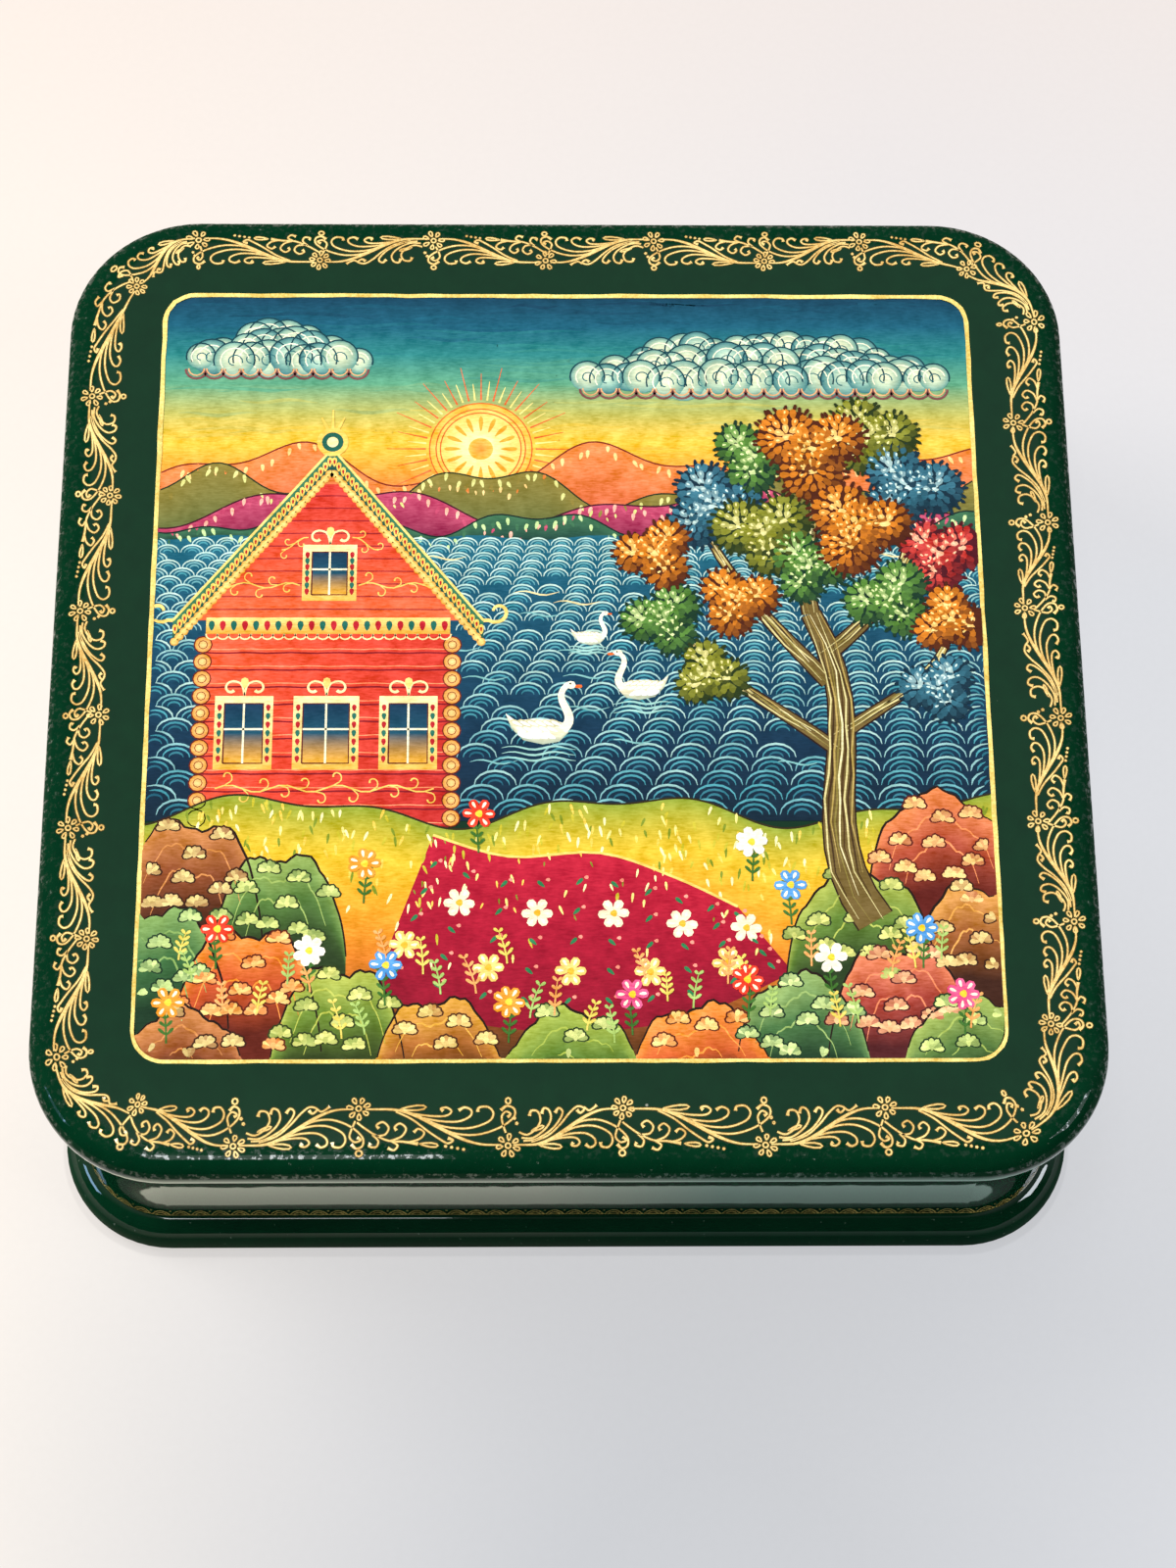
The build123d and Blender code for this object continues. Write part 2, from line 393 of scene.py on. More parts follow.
def table_material():
    material = bpy.data.materials.new("table")
    material.use_nodes = True
    tree = material.node_tree
    tree.nodes.clear()
    where = tree.nodes.new("ShaderNodeTexCoord").outputs["Object"]
    place = parted(tree, where)
    path = tree.nodes.new("ShaderNodeLightPath").outputs
    seen = path["Is Camera Ray"]
    # The colour, with painted light and shade: warm and bright towards the window, cooler away from it, and a
    # little darker in front of the box, a painted shadow; with a fine grain.
    colour = blended(tree, between(tree, place["X"], -0.11, 0.05), TABLE_WARM, TABLE_COOL)
    near = put(tree, "ShaderNodeVectorMath", {0: where, 1: (0.02, -0.12, 0)}, operation="DISTANCE")
    colour = blended(tree, between(tree, near.outputs["Value"], 0.02, 0.13), TABLE_NEAR_SHADOW, colour)
    colour = blended(tree, between(tree, place["Y"], 0.03, 0.2), colour, TABLE_FAR)
    grain = blended(tree, noise(tree, where, 900.0, 3.0), (0.97, 0.97, 0.97, 1), WHITE)
    colour = blended(tree, 1.0, colour, grain, "MULTIPLY")
    diffuse = put(tree, "ShaderNodeBsdfDiffuse", {"Color": colour}).outputs[0]
    # What the box mirrors of it is darkened at its foot, a painted contact shadow that the eye also sees
    # faintly, and tinted in front of the near wall, a painted reflection of the room there.
    shade = between(tree, distance_out(tree, where, 55), 68 * MM, 71 * MM)
    shade = maths(tree, "MAXIMUM", shade, maths(tree, "MULTIPLY_ADD", seen, 0.84, 0.06))
    mirrored = blended(
        tree, between(tree, place["X"], -0.004, 0.022), (1.74, 1.82, 1.48, 1), (0.9, 1.26, 1.08, 1)
    )
    in_front = between(tree, maths(tree, "ABSOLUTE", place["X"]), 0.076, 0.066)
    near_side = maths(tree, "LESS_THAN", place["Y"], -0.05)
    share = times(tree, near_side, in_front, maths(tree, "SUBTRACT", 1.0, seen))
    tinted = blended(tree, share, colour, mirrored, "MULTIPLY")
    shaded = blended(tree, shade, BLACK, tinted)
    glow = put(tree, "ShaderNodeEmission", {"Color": shaded, "Strength": 1.1}).outputs[0]
    looks = maths(tree, "MAXIMUM", seen, path["Is Glossy Ray"])
    looks = maths(tree, "MAXIMUM", looks, path["Is Transmission Ray"])
    mix = put(tree, "ShaderNodeMixShader", {0: times(tree, looks, TABLE_GLOW), 1: diffuse, 2: glow})
    put(tree, "ShaderNodeOutputMaterial", {"Surface": mix.outputs[0]})
    return material


def add_table():
    """A pale table, warm towards the window and cool away from it, that the eye sees a little whiter."""
    corners = [(x * TABLE_SIZE, y * TABLE_SIZE, 0) for x, y in ((-1, -1), (1, -1), (1, 1), (-1, 1))]
    mesh = new_mesh("table", corners, faces=[(0, 1, 2, 3)])
    mesh.materials.append(table_material())
    table = new_object("table", mesh)


def add_lamp(name, place, size_m, power, colour, mirrored=True):
    data = bpy.data.lights.new(name, "AREA")
    data.shape = "RECTANGLE"
    data.size, data.size_y = size_m
    data.energy = power
    data.color = colour
    lamp = new_object(name, data)
    lamp.visible_glossy = mirrored
    place = Vector(place)
    lamp.matrix_world = Matrix.Translation(place) @ (-place).to_track_quat("-Z", "Y").to_matrix().to_4x4()


# Geometry Nodes helpers

def geometry_tree(name, **inputs):
    """A Geometry Nodes tree with these named inputs. Returns it, its input sockets and its output node."""
    tree = bpy.data.node_groups.new(name, "GeometryNodeTree")
    tree.interface.new_socket("Geometry", in_out="OUTPUT", socket_type="NodeSocketGeometry")
    tree.interface.new_socket("Geometry", in_out="INPUT", socket_type="NodeSocketGeometry")
    for label, kind in inputs.items():
        tree.interface.new_socket(label, in_out="INPUT", socket_type="NodeSocket" + kind)
    return tree, tree.nodes.new("NodeGroupInput").outputs, tree.nodes.new("NodeGroupOutput")


def named(tree, label, kind="FLOAT"):
    return put(tree, "GeometryNodeInputNamedAttribute", {"Name": label}, data_type=kind).outputs[0]


def lent(tree, thing):
    """Another object as one instance."""
    return put(tree, "GeometryNodeObjectInfo", {"Object": thing, "As Instance": True}).outputs["Geometry"]


def joined(tree, parts):
    join = tree.nodes.new("GeometryNodeJoinGeometry")
    for part in parts:
        tree.links.new(part, join.inputs[0])
    return join.outputs[0]


def realized(tree, geometry):
    return put(tree, "GeometryNodeRealizeInstances", {0: geometry}).outputs[0]


def vector(tree, **parts):
    return put(tree, "ShaderNodeCombineXYZ", parts).outputs[0]


def position(tree):
    return parted(tree, tree.nodes.new("GeometryNodeInputPosition").outputs[0])


def end_tree(tree, geometry, material, out):
    """Ends a tree: makes what it repeats real and gives it its material."""
    into = {"Geometry": realized(tree, geometry), "Material": material}
    tree.links.new(put(tree, "GeometryNodeSetMaterial", into).outputs[0], out.inputs[0])
    return tree


def grow(name, seed, tree, body, slot, **inputs):
    """Runs a Geometry Nodes tree on a seed and keeps its result as a plain mesh that rides on a body."""
    modifier = seed.modifiers.new("grow", "NODES")
    modifier.node_group = tree
    for item in tree.interface.items_tree:
        if item.in_out == "INPUT" and item.name in inputs:
            modifier[item.identifier] = inputs[item.name]
    bpy.context.view_layer.update()
    evaluated = seed.evaluated_get(bpy.context.evaluated_depsgraph_get())
    mesh = bpy.data.meshes.new_from_object(evaluated)
    seed.modifiers.remove(modifier)
    bpy.data.objects.remove(seed)
    piece = new_object(name, mesh)
    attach(piece, body)
    return piece


class Strokes:
    """Brush strokes: chains of points, each with its half width and colour, in millimetres."""

    def __init__(self):
        self.points, self.edges, self.widths, self.colours = [], [], [], []

    def add(self, path, half_width, colour=WHITE, height=0.0, closed=False):
        first, last = len(self.points), len(path) - 1
        for i, (x, y) in enumerate(path):
            self.points.append((x * MM, y * MM, height * MM))
            self.widths.append((half_width(i / last) if callable(half_width) else half_width) * MM)
            self.colours.append(colour)
        self.edges += [(first + i, first + i + 1) for i in range(last)]
        if closed:
            self.edges.append((first + last, first))

    def seed(self, name):
        mesh = new_mesh(name, self.points, self.edges)
        mark(mesh, "half_width", "FLOAT", self.widths)
        mark(mesh, "paint", "FLOAT_COLOR", self.colours)
        return new_object(name, mesh)


def painted(tree, chains, thickness):
    """The nodes that turn chains of edges into closed strokes of paint, flat on top and keeled below."""
    curve = put(tree, "GeometryNodeMeshToCurve", {0: chains}).outputs[0]
    width = named(tree, "half_width")
    curve = put(tree, "GeometryNodeSetCurveNormal", {"Curve": curve}, mode="Z_UP").outputs[0]
    ridge = put(tree, "GeometryNodeCurvePrimitiveCircle", {"Resolution": 3, "Radius": 1.0}).outputs[0]
    flat = vector(tree, X=1.0, Y=thickness, Z=1.0)
    turned = put(tree, "GeometryNodeTransform", {"Geometry": ridge, "Rotation": (0, 0, pi / 2)}).outputs[0]
    section = put(tree, "GeometryNodeTransform", {"Geometry": turned, "Scale": flat}).outputs[0]
    into = {"Curve": curve, "Profile Curve": section, "Scale": width, "Fill Caps": True}
    stroke = put(tree, "GeometryNodeCurveToMesh", into).outputs[0]
    return put(tree, "GeometryNodeSetShadeSmooth", {0: stroke, 2: False}).outputs[0]


def stroke_tree():
    tree, given, out = geometry_tree("brush_strokes", Thickness="Float", Material="Material")
    return end_tree(tree, painted(tree, given["Geometry"], given["Thickness"]), given["Material"], out)


def laid_round(tree, geometry, given, along, outward, height):
    """Bends a straight strip round the box: along a rounded square, outward from it, and up to a height."""
    side = maths(tree, "MULTIPLY", given["Path Half"], 2.0)
    into = {"Width": side, "Height": side}
    square = put(tree, "GeometryNodeCurvePrimitiveQuadrilateral", into).outputs[0]
    into = {"Curve": square, "Radius": given["Path Corner"], "Count": 24}
    path = put(tree, "GeometryNodeFilletCurve", into, mode="POLY").outputs[0]
    length = put(tree, "GeometryNodeCurveLength", {0: path}).outputs[0]
    along = maths(tree, "FLOORED_MODULO", along, length)
    sample = put(tree, "GeometryNodeSampleCurve", {"Curves": path, "Length": along}, mode="LENGTH").outputs
    tangent, start = parted(tree, sample["Tangent"]), parted(tree, sample["Position"])
    x = maths(tree, "MULTIPLY_ADD", tangent["Y"], outward, start["X"])
    y = maths(tree, "MULTIPLY_ADD", times(tree, tangent["X"], -1.0), outward, start["Y"])
    into = {"Geometry": geometry, "Position": vector(tree, X=x, Y=y, Z=height)}
    return put(tree, "GeometryNodeSetPosition", into).outputs[0]


# Paths, as lists of points in millimetres

def mix(a, b, k):
    return a + (b - a) * k


def around(centre, angle, r):
    """The point at an angle and a distance from a centre."""
    return centre[0] + r * cos(angle), centre[1] + r * sin(angle)


def straight(a, b, steps):
    """Points from a to b in even steps."""
    return [tuple(p + (q - p) * i / steps for p, q in zip(a, b)) for i in range(steps + 1)]


def rows_between(one, other, steps):
    """Rows of points from one path to another."""
    return [list(row) for row in zip(*[straight(a, b, steps) for a, b in zip(one, other)])]


def bezier(a, b, c, d, steps):
    """Points along a cubic curve from a to d."""
    path = []
    for i in range(steps + 1):
        k = i / steps
        m = 1 - k
        path.append(tuple(
            m ** 3 * a[j] + 3 * m * m * k * b[j] + 3 * m * k * k * c[j] + k ** 3 * d[j] for j in (0, 1)
        ))
    return path


def smoothed(path, parts):
    """Points along a soft curve through the given points."""
    out = []
    for i in range(len(path) - 1):
        a, b, c, d = [path[max(0, min(len(path) - 1, i + k))] for k in (-1, 0, 1, 2)]
        for j in range(parts):
            t = j / parts
            out.append(tuple(
                0.5 * (2 * b[m] + (c[m] - a[m]) * t + (2 * a[m] - 5 * b[m] + 4 * c[m] - d[m]) * t * t
                       + (3 * b[m] - a[m] - 3 * c[m] + d[m]) * t ** 3) for m in (0, 1)
            ))
    return out + [path[-1]]


def arc(centre, start, end, radius, end_radius, steps):
    """Points round a centre between two angles, the radius changing evenly."""
    shares = [i / steps for i in range(steps + 1)]
    return [around(centre, mix(start, end, k), mix(radius, end_radius, k)) for k in shares]


def ring(centre, radius, steps=8):
    return arc(centre, 0, 2 * pi * (1 - 1 / steps), radius, radius, steps - 1)


def tendril(start, heading, centre, begin, end, reach, tip, steps=7):
    """A stroke that runs out from a stem and winds in round a centre, like a young fern."""
    shares = [i / 12 for i in range(13)]
    curl = [around(centre, mix(begin, end, k), mix(tip, reach, (1 - k) ** 2.2)) for k in shares]
    first, second = curl[:2]
    pull = 0.42 * hypot(first[0] - start[0], first[1] - start[1])
    back = pull / hypot(second[0] - first[0], second[1] - first[1])
    last = (first[0] - back * (second[0] - first[0]), first[1] - back * (second[1] - first[1]))
    return bezier(start, around(start, heading, pull), last, first, steps) + curl[1:]


def loop(base, tip, width, steps):
    """A closed leaf like a drop, pointed at its base."""
    dx, dy = tip[0] - base[0], tip[1] - base[1]
    size = hypot(dx, dy)
    path = []
    for i in range(steps):
        angle = 2 * pi * i / steps
        along = (1 - cos(angle)) / 2
        across = width * sin(angle) * sqrt(along)
        path.append((base[0] + dx * along - dy / size * across, base[1] + dy * along + dx / size * across))
    return path


def swell(thin, thick, power=3):
    """A half width that grows from thin to thick at the end of a stroke."""
    return lambda share: thin + (thick - thin) * share ** power


def bell(thin, more, power=1):
    """A half width that is thin at both ends of a stroke and has more in the middle."""
    return lambda share: thin + more * sin(pi * share) ** power


# The gold scroll round the lid

BAND_HALF = LID_HALF - 6.0
BAND_CORNER = 12.0
BAND_REACH = 3.35
SPRAY_LENGTH = 15.4
FLOWER_SWING = 1.9
GOLD_HEIGHT = 0.016
SCROLL_KINDS = 4
# The way from each flower to the next, going round with the growth of the scroll from the far left corner.
FLOWER_GAPS = (
    18.7, 15.3, 17.4, 15.2, 16.1, 15.4, 15.6, 12.5,
    13.5, 15.8, 19.1, 14.7, 18.1, 15.5, 17.2, 15.3,
    14.0, 14.0, 14.8, 16.2, 12.9, 15.4, 15.8, 12.2,
    15.9, 13.6, 15.7, 15.4, 15.9, 16.1, 17.2, 10.3,
)
# The path starts at the far end of the right side, so the left side starts a side and two turns later.
FIRST_FLOWER = 2 * (BAND_HALF - BAND_CORNER) + pi * BAND_CORNER - 7.8
# For each side of the lid, how far out the scroll's middle line runs and how wide it swings.
SCROLL_SIDES = ((0.5, 1.6), (-0.4, 2.45), (0.15, 1.95), (0.5, 1.6))

# The strokes of the scroll, as shares of the way to the next flower and millimetres off the middle line.
ARCHES = (
    ((0.34, -1.6), (0.47, -1.3), (0.575, -1.3), (0.615, -1.8), (0.585, -2.25), (0.545, -2.15), (0.56, -1.85)),
    ((0.4, -1.2), (0.53, -0.75), (0.66, -0.68), (0.74, -1.25), (0.75, -1.95), (0.705, -2.3), (0.665, -1.95)),
    (
        (0.44, -0.95), (0.58, -0.05), (0.74, 0.12), (0.87, -0.6),
        (0.905, -1.55), (0.87, -2.3), (0.81, -2.25), (0.8, -1.75),
    ),
    (
        (0.48, -0.6), (0.62, 0.6), (0.78, 0.85), (0.93, 0.1),
        (1.03, -1.1), (1.035, -2.1), (0.985, -2.45), (0.945, -1.95),
    ),
)
FAN = (
    ((0.1, -0.6), (0.17, -0.9), (0.245, -0.25), (0.285, 0.75), (0.262, 1.75), (0.205, 1.85), (0.19, 1.25)),
    ((0.12, -1.25), (0.22, -1.25), (0.325, -0.25), (0.375, 0.9), (0.36, 1.9), (0.315, 2.15), (0.295, 1.5)),
    ((0.14, -1.55), (0.25, -1.35), (0.38, -0.3), (0.455, 0.9), (0.48, 1.8), (0.445, 2.2), (0.415, 1.65)),
    (
        (0.2, -1.7), (0.34, -1.0), (0.45, 0.3), (0.53, 1.6),
        (0.6, 2.35), (0.66, 2.1), (0.625, 1.6), (0.595, 1.95),
    ),
    ((0.66, 2.25), (0.7, 1.85), (0.74, 2.1), (0.77, 2.45)),
)
BRANCH = (
    ((-0.01, -0.5), (0.045, 0.2), (0.115, 0.95), (0.205, 1.6), (0.3, 1.7), (0.4, 1.95)),
    ((0.115, 0.95), (0.18, 0.8), (0.205, 0.0), (0.165, -0.65), (0.125, -0.3), (0.14, 0.1)),
    ((0.22, 1.6), (0.295, 1.1), (0.325, 0.2), (0.285, -0.4), (0.25, 0.0), (0.262, 0.4)),
    ((0.33, 1.75), (0.405, 1.35), (0.435, 0.65), (0.395, 0.2), (0.365, 0.6)),
    ((0.1, 0.9), (0.14, 1.6), (0.125, 2.3), (0.08, 2.2), (0.09, 1.85)),
    ((0.22, 1.65), (0.26, 2.1), (0.235, 2.65), (0.195, 2.4)),
    ((0.25, -1.8), (0.36, -0.9), (0.47, 0.5), (0.55, 1.4), (0.6, 1.85), (0.635, 1.5), (0.6, 1.25)),
)
C_CURL = ((-0.02, -0.7), (-0.045, 0.3), (-0.055, 1.2), (-0.02, 1.75), (0.02, 1.5), (-0.005, 1.15))


def spray(seed):
    """Half a wave of the scroll, between a flower below and a flower above the middle line."""
    chance = random.Random(seed)
    ink = Strokes()
    wide = SPRAY_LENGTH
    fan = seed % 2

    def near(value, spread):
        return value + chance.uniform(-spread, spread)

    def stem(k):
        return wide * k, -1.08 * FLOWER_SWING * cos(pi * max(0.0, min(1.0, (k - 0.19) / 0.69)))

    def leaf(low, high, width):
        base, tip = [(wide * near(x, 0.01), near(y, 0.05)) for x, y in (low, high)]
        ink.add(loop(base, tip, width, 10), 0.14, closed=True)

    def dots(places, size):
        for k, y in places:
            ink.add(ring((wide * k, y), size, 5), 0.13, closed=True)

    ink.add([stem(k / 22) for k in range(1, 22)], bell(0.13, 0.15, 2))
    for curve in ARCHES + (FAN if fan else BRANCH):
        x, y = near(0.0, 0.007), near(0.0, 0.06)
        path = [(wide * (k + x), v + y) for k, v in curve]
        ink.add(smoothed(path, 4), swell(0.15, 0.28, 10))
    leaf((0.27, -2.05), (0.46, -2.3), 0.36)
    if fan:
        leaf((0.2, -0.5), (0.3, 0.1), 0.22)
        dots([(0.055, 1.0), (0.075, 0.4)], 0.14)
    else:
        leaf((0.42, 1.95), (0.54, 2.1), 0.3)
        dots([(0.585 + 0.04 * i, 2.2 + 0.12 * i) for i in range(4)], 0.1)
    ink.add(smoothed([(wide * k, near(v, 0.05)) for k, v in C_CURL], 4), swell(0.15, 0.27, 8))
    ink.add(ring((near(0.0, 0.2), BAND_REACH - 0.35), 0.34, 8), 0.15, closed=True)
    return ink


def flower(seed):
    """A small open flower: a ring with oval petals round it."""
    chance = random.Random(seed)
    ink = Strokes()
    ink.add(ring((0, 0), 0.34, 9), 0.14, closed=True)
    petals = chance.choice((7, 7, 8))
    turn = chance.uniform(0, 1)
    for i in range(petals):
        angle = turn + 2 * pi * i / petals + chance.uniform(-0.06, 0.06)
        far = 1.5 + chance.uniform(-0.08, 0.08)
        base, tip = [around((0, 0), angle, r) for r in (0.68, far)]
        ink.add(loop(base, tip, 0.32, 9), 0.13, closed=True)
    return ink


def scroll_tree():
    """Sets sprays and flowers at marked places along a line, bends the line round the lid and paints it."""
    units = {f"{what} {i + 1}": "Object" for what in ("Spray", "Flower") for i in range(SCROLL_KINDS)}
    sizes = dict.fromkeys(("Path Half", "Path Corner", "Height", "Thickness", "Spread"), "Float")
    tree, given, out = geometry_tree("gold_scroll", **units, **sizes, Material="Material")

    def units_on_points(what, **more):
        kinds = [lent(tree, given[f"{what} {i + 1}"]) for i in reversed(range(SCROLL_KINDS))]
        into = {"Points": given["Geometry"], "Instance": joined(tree, kinds), "Pick Instance": True}
        into["Instance Index"] = named(tree, "kind", "INT")
        return put(tree, "GeometryNodeInstanceOnPoints", into | more).outputs[0]

    sprays = units_on_points("Spray", Scale=named(tree, "stretch", "FLOAT_VECTOR"))
    move = {"Instances": units_on_points("Flower"), "Local Space": False}
    move["Translation"] = vector(tree, Y=named(tree, "flower_at"))
    flowers = put(tree, "GeometryNodeTranslateInstances", move).outputs[0]
    whole = realized(tree, joined(tree, (sprays, flowers)))
    place = position(tree)
    laid = laid_round(tree, whole, given, place["X"], place["Y"], given["Height"])
    wider = maths(tree, "ADD", named(tree, "half_width"), given["Spread"])
    into = {"Geometry": laid, "Name": "half_width", "Value": wider}
    laid = put(tree, "GeometryNodeStoreNamedAttribute", into, data_type="FLOAT").outputs[0]
    return end_tree(tree, painted(tree, laid, given["Thickness"]), given["Material"], out)


def scroll_places():
    """Marked places for the scroll: where along the band each flower is and how its spray is stretched."""
    chance = random.Random(7)
    at, places, stretches, lifts = FIRST_FLOWER, [], [], []
    each_side = len(FLOWER_GAPS) // len(SCROLL_SIDES)
    for i, gap in enumerate(FLOWER_GAPS):
        side = 1 if i % 2 else -1
        middle, swing = SCROLL_SIDES[i // each_side]
        places.append((at * MM, middle * MM, 0))
        stretches += [gap / SPRAY_LENGTH, -side * (swing + FLOWER_SWING) / 2 / FLOWER_SWING, 1]
        lifts.append(side * swing * MM)
        at += gap
    mesh = new_mesh("scroll_places", places)
    mark(mesh, "stretch", "FLOAT_VECTOR", stretches)
    mark(mesh, "flower_at", "FLOAT", lifts)
    mark(mesh, "kind", "INT", [2 * chance.randrange(SCROLL_KINDS // 2) + i % 2 for i in range(len(places))])
    return new_object("scroll_places", mesh)


def add_scroll():
    tree = scroll_tree()
    units = {f"Spray {i + 1}": spray(20 + i).seed(f"spray_{i}") for i in range(SCROLL_KINDS)}
    units |= {f"Flower {i + 1}": flower(40 + i).seed(f"flower_{i}") for i in range(SCROLL_KINDS)}
    sizes = {"Path Half": BAND_HALF * MM, "Path Corner": BAND_CORNER * MM}
    for name, height, thickness, spread, material in (
        ("scroll_gold", GOLD_HEIGHT, 0.1, -0.018, GOLD_PAINT),
        ("scroll_size", GOLD_HEIGHT / 2, 0.02, 0.1, GOLD_SIZE),
    ):
        layer = {"Height": (LID_TOP + height) * MM, "Thickness": thickness, "Spread": spread * MM}
        grow(name, scroll_places(), tree, "lid", "gold_paint", **units, **sizes, **layer, Material=material)
    for unit in units.values():
        bpy.data.objects.remove(unit)


# The gold line round the picture

PICTURE_HALF_X = 56.4
PICTURE_HALF_Y = 56.0
PICTURE_CENTRE_Y = 1.15
PICTURE_CORNER = 4.2
FRAME_HALF_WIDTH = 0.36


def add_frame_line(tree):
    """A hand-drawn line on a rectangle with turned corners, its points about 3 mm apart."""
    chance = random.Random(3)
    line = Strokes()
    turns, path = [], []
    inner_x, inner_y = PICTURE_HALF_X - PICTURE_CORNER, PICTURE_HALF_Y - PICTURE_CORNER
    for turn, (sx, sy) in enumerate(((1, 1), (-1, 1), (-1, -1), (1, -1))):
        centre = (sx * inner_x, PICTURE_CENTRE_Y + sy * inner_y)
        turns += arc(centre, turn * pi / 2, (turn + 1) * pi / 2, PICTURE_CORNER, PICTURE_CORNER, 8)
    for a, b in zip(turns, turns[1:] + turns[:1]):
        parts = max(1, round(hypot(b[0] - a[0], b[1] - a[1]) / 3.0))
        path += straight(a, b, parts)[:-1]
    path = [(x + chance.gauss(0, 0.035), y + chance.gauss(0, 0.035)) for x, y in path]
    widths = [FRAME_HALF_WIDTH * chance.uniform(0.85, 1.12) for _ in path]
    line.add(path, lambda share: widths[round(share * (len(path) - 1))], height=LID_TOP + 0.06, closed=True)
    seed = line.seed("frame_line")
    grow("frame_line", seed, tree, "lid", "gold_paint", Thickness=0.16, Material=GOLD_FRAME)


# The picture inside the gold line: a made-up lake landscape at sunrise

INSIDE_X = PICTURE_HALF_X - 0.2
INSIDE_Y = PICTURE_HALF_Y - 0.2
INSIDE_CORNER = PICTURE_CORNER - 0.2
OUTSIDE = (999, 999)
HORIZON = 22.0
SHORE = -16.0
# How thick a sheet of paint is, and how far a line lies above its sheet
SLAB = 0.003
OVER = 0.004
# How high above the lid each part of the picture starts
SKY_HIGH, STREAKS_HIGH, SUN_HIGH, CLOUDS_HIGH, HILLS_HIGH = 0.006, 0.0095, 0.0175, 0.02, 0.032
LAKE_HIGH, HOUSE_HIGH, SWANS_HIGH, TREE_HIGH = 0.054, 0.062, 0.062, 0.066
MEADOW_HIGH, FLOWERS_HIGH = 0.07, 0.14

SKY = ("0b3a50", "16566a", "2f7c78", "5f9c78", "b9b25e", "f2bf4c", "f29a44", "e96a48", "d4553f")
LAKE = ("1f5f70", "164b60", "0f3a50", "0a2a40", "08202f")
MEADOW = ("8a9a3a", "e6bc3c", "f0a032", "d97a28", "8a4a20", "4a2c14")
GREEN_LEAVES = ("10301e", "5f8a3c", "e3eaa6")
OLIVE_LEAVES = ("22300f", "8d8c32", "f0e29a")
ORANGE_LEAVES = ("4a1c08", "dc7f22", "ffd98a")
BLUE_LEAVES = ("0c2836", "3f7484", "cfe3d6")
ROSE_LEAVES = ("4a0d18", "cf4a44", "ffc9a0")


def held_in(x, y):
    """The nearest point inside the gold line."""
    y -= PICTURE_CENTRE_Y
    x, y = max(-INSIDE_X, min(INSIDE_X, x)), max(-INSIDE_Y, min(INSIDE_Y, y))
    straight_x, straight_y = INSIDE_X - INSIDE_CORNER, INSIDE_Y - INSIDE_CORNER
    past_x, past_y = abs(x) - straight_x, abs(y) - straight_y
    if past_x > 0 and past_y > 0 and hypot(past_x, past_y) > INSIDE_CORNER:
        k = INSIDE_CORNER / hypot(past_x, past_y)
        x = (straight_x + past_x * k) * (1 if x > 0 else -1)
        y = (straight_y + past_y * k) * (1 if y > 0 else -1)
    return x, y + PICTURE_CENTRE_Y


def fits(x, y):
    """Whether a point is inside the gold line."""
    near_x, near_y = held_in(x, y)
    return hypot(near_x - x, near_y - y) < 1e-6


def tint(stops, k):
    """The colour at a share along a list of colour codes."""
    at = max(0.0, min(0.9999, k)) * (len(stops) - 1)
    i = int(at)
    return [mix(a, b, at - i) for a, b in zip(linear(stops[i]), linear(stops[i + 1]))]


def fade(stops, start=0.0, across=0.0, down=1.0):
    """The colours of a sheet that changes across and down."""
    return lambda s, t: tint(stops, start + across * s + down * t)


def waves(level, *parts):
    """A height over x: a level with a few sine waves of (size, length, shift)."""
    return lambda x: level + sum(size * sin(2 * pi * (x + shift) / length) for size, length, shift in parts)


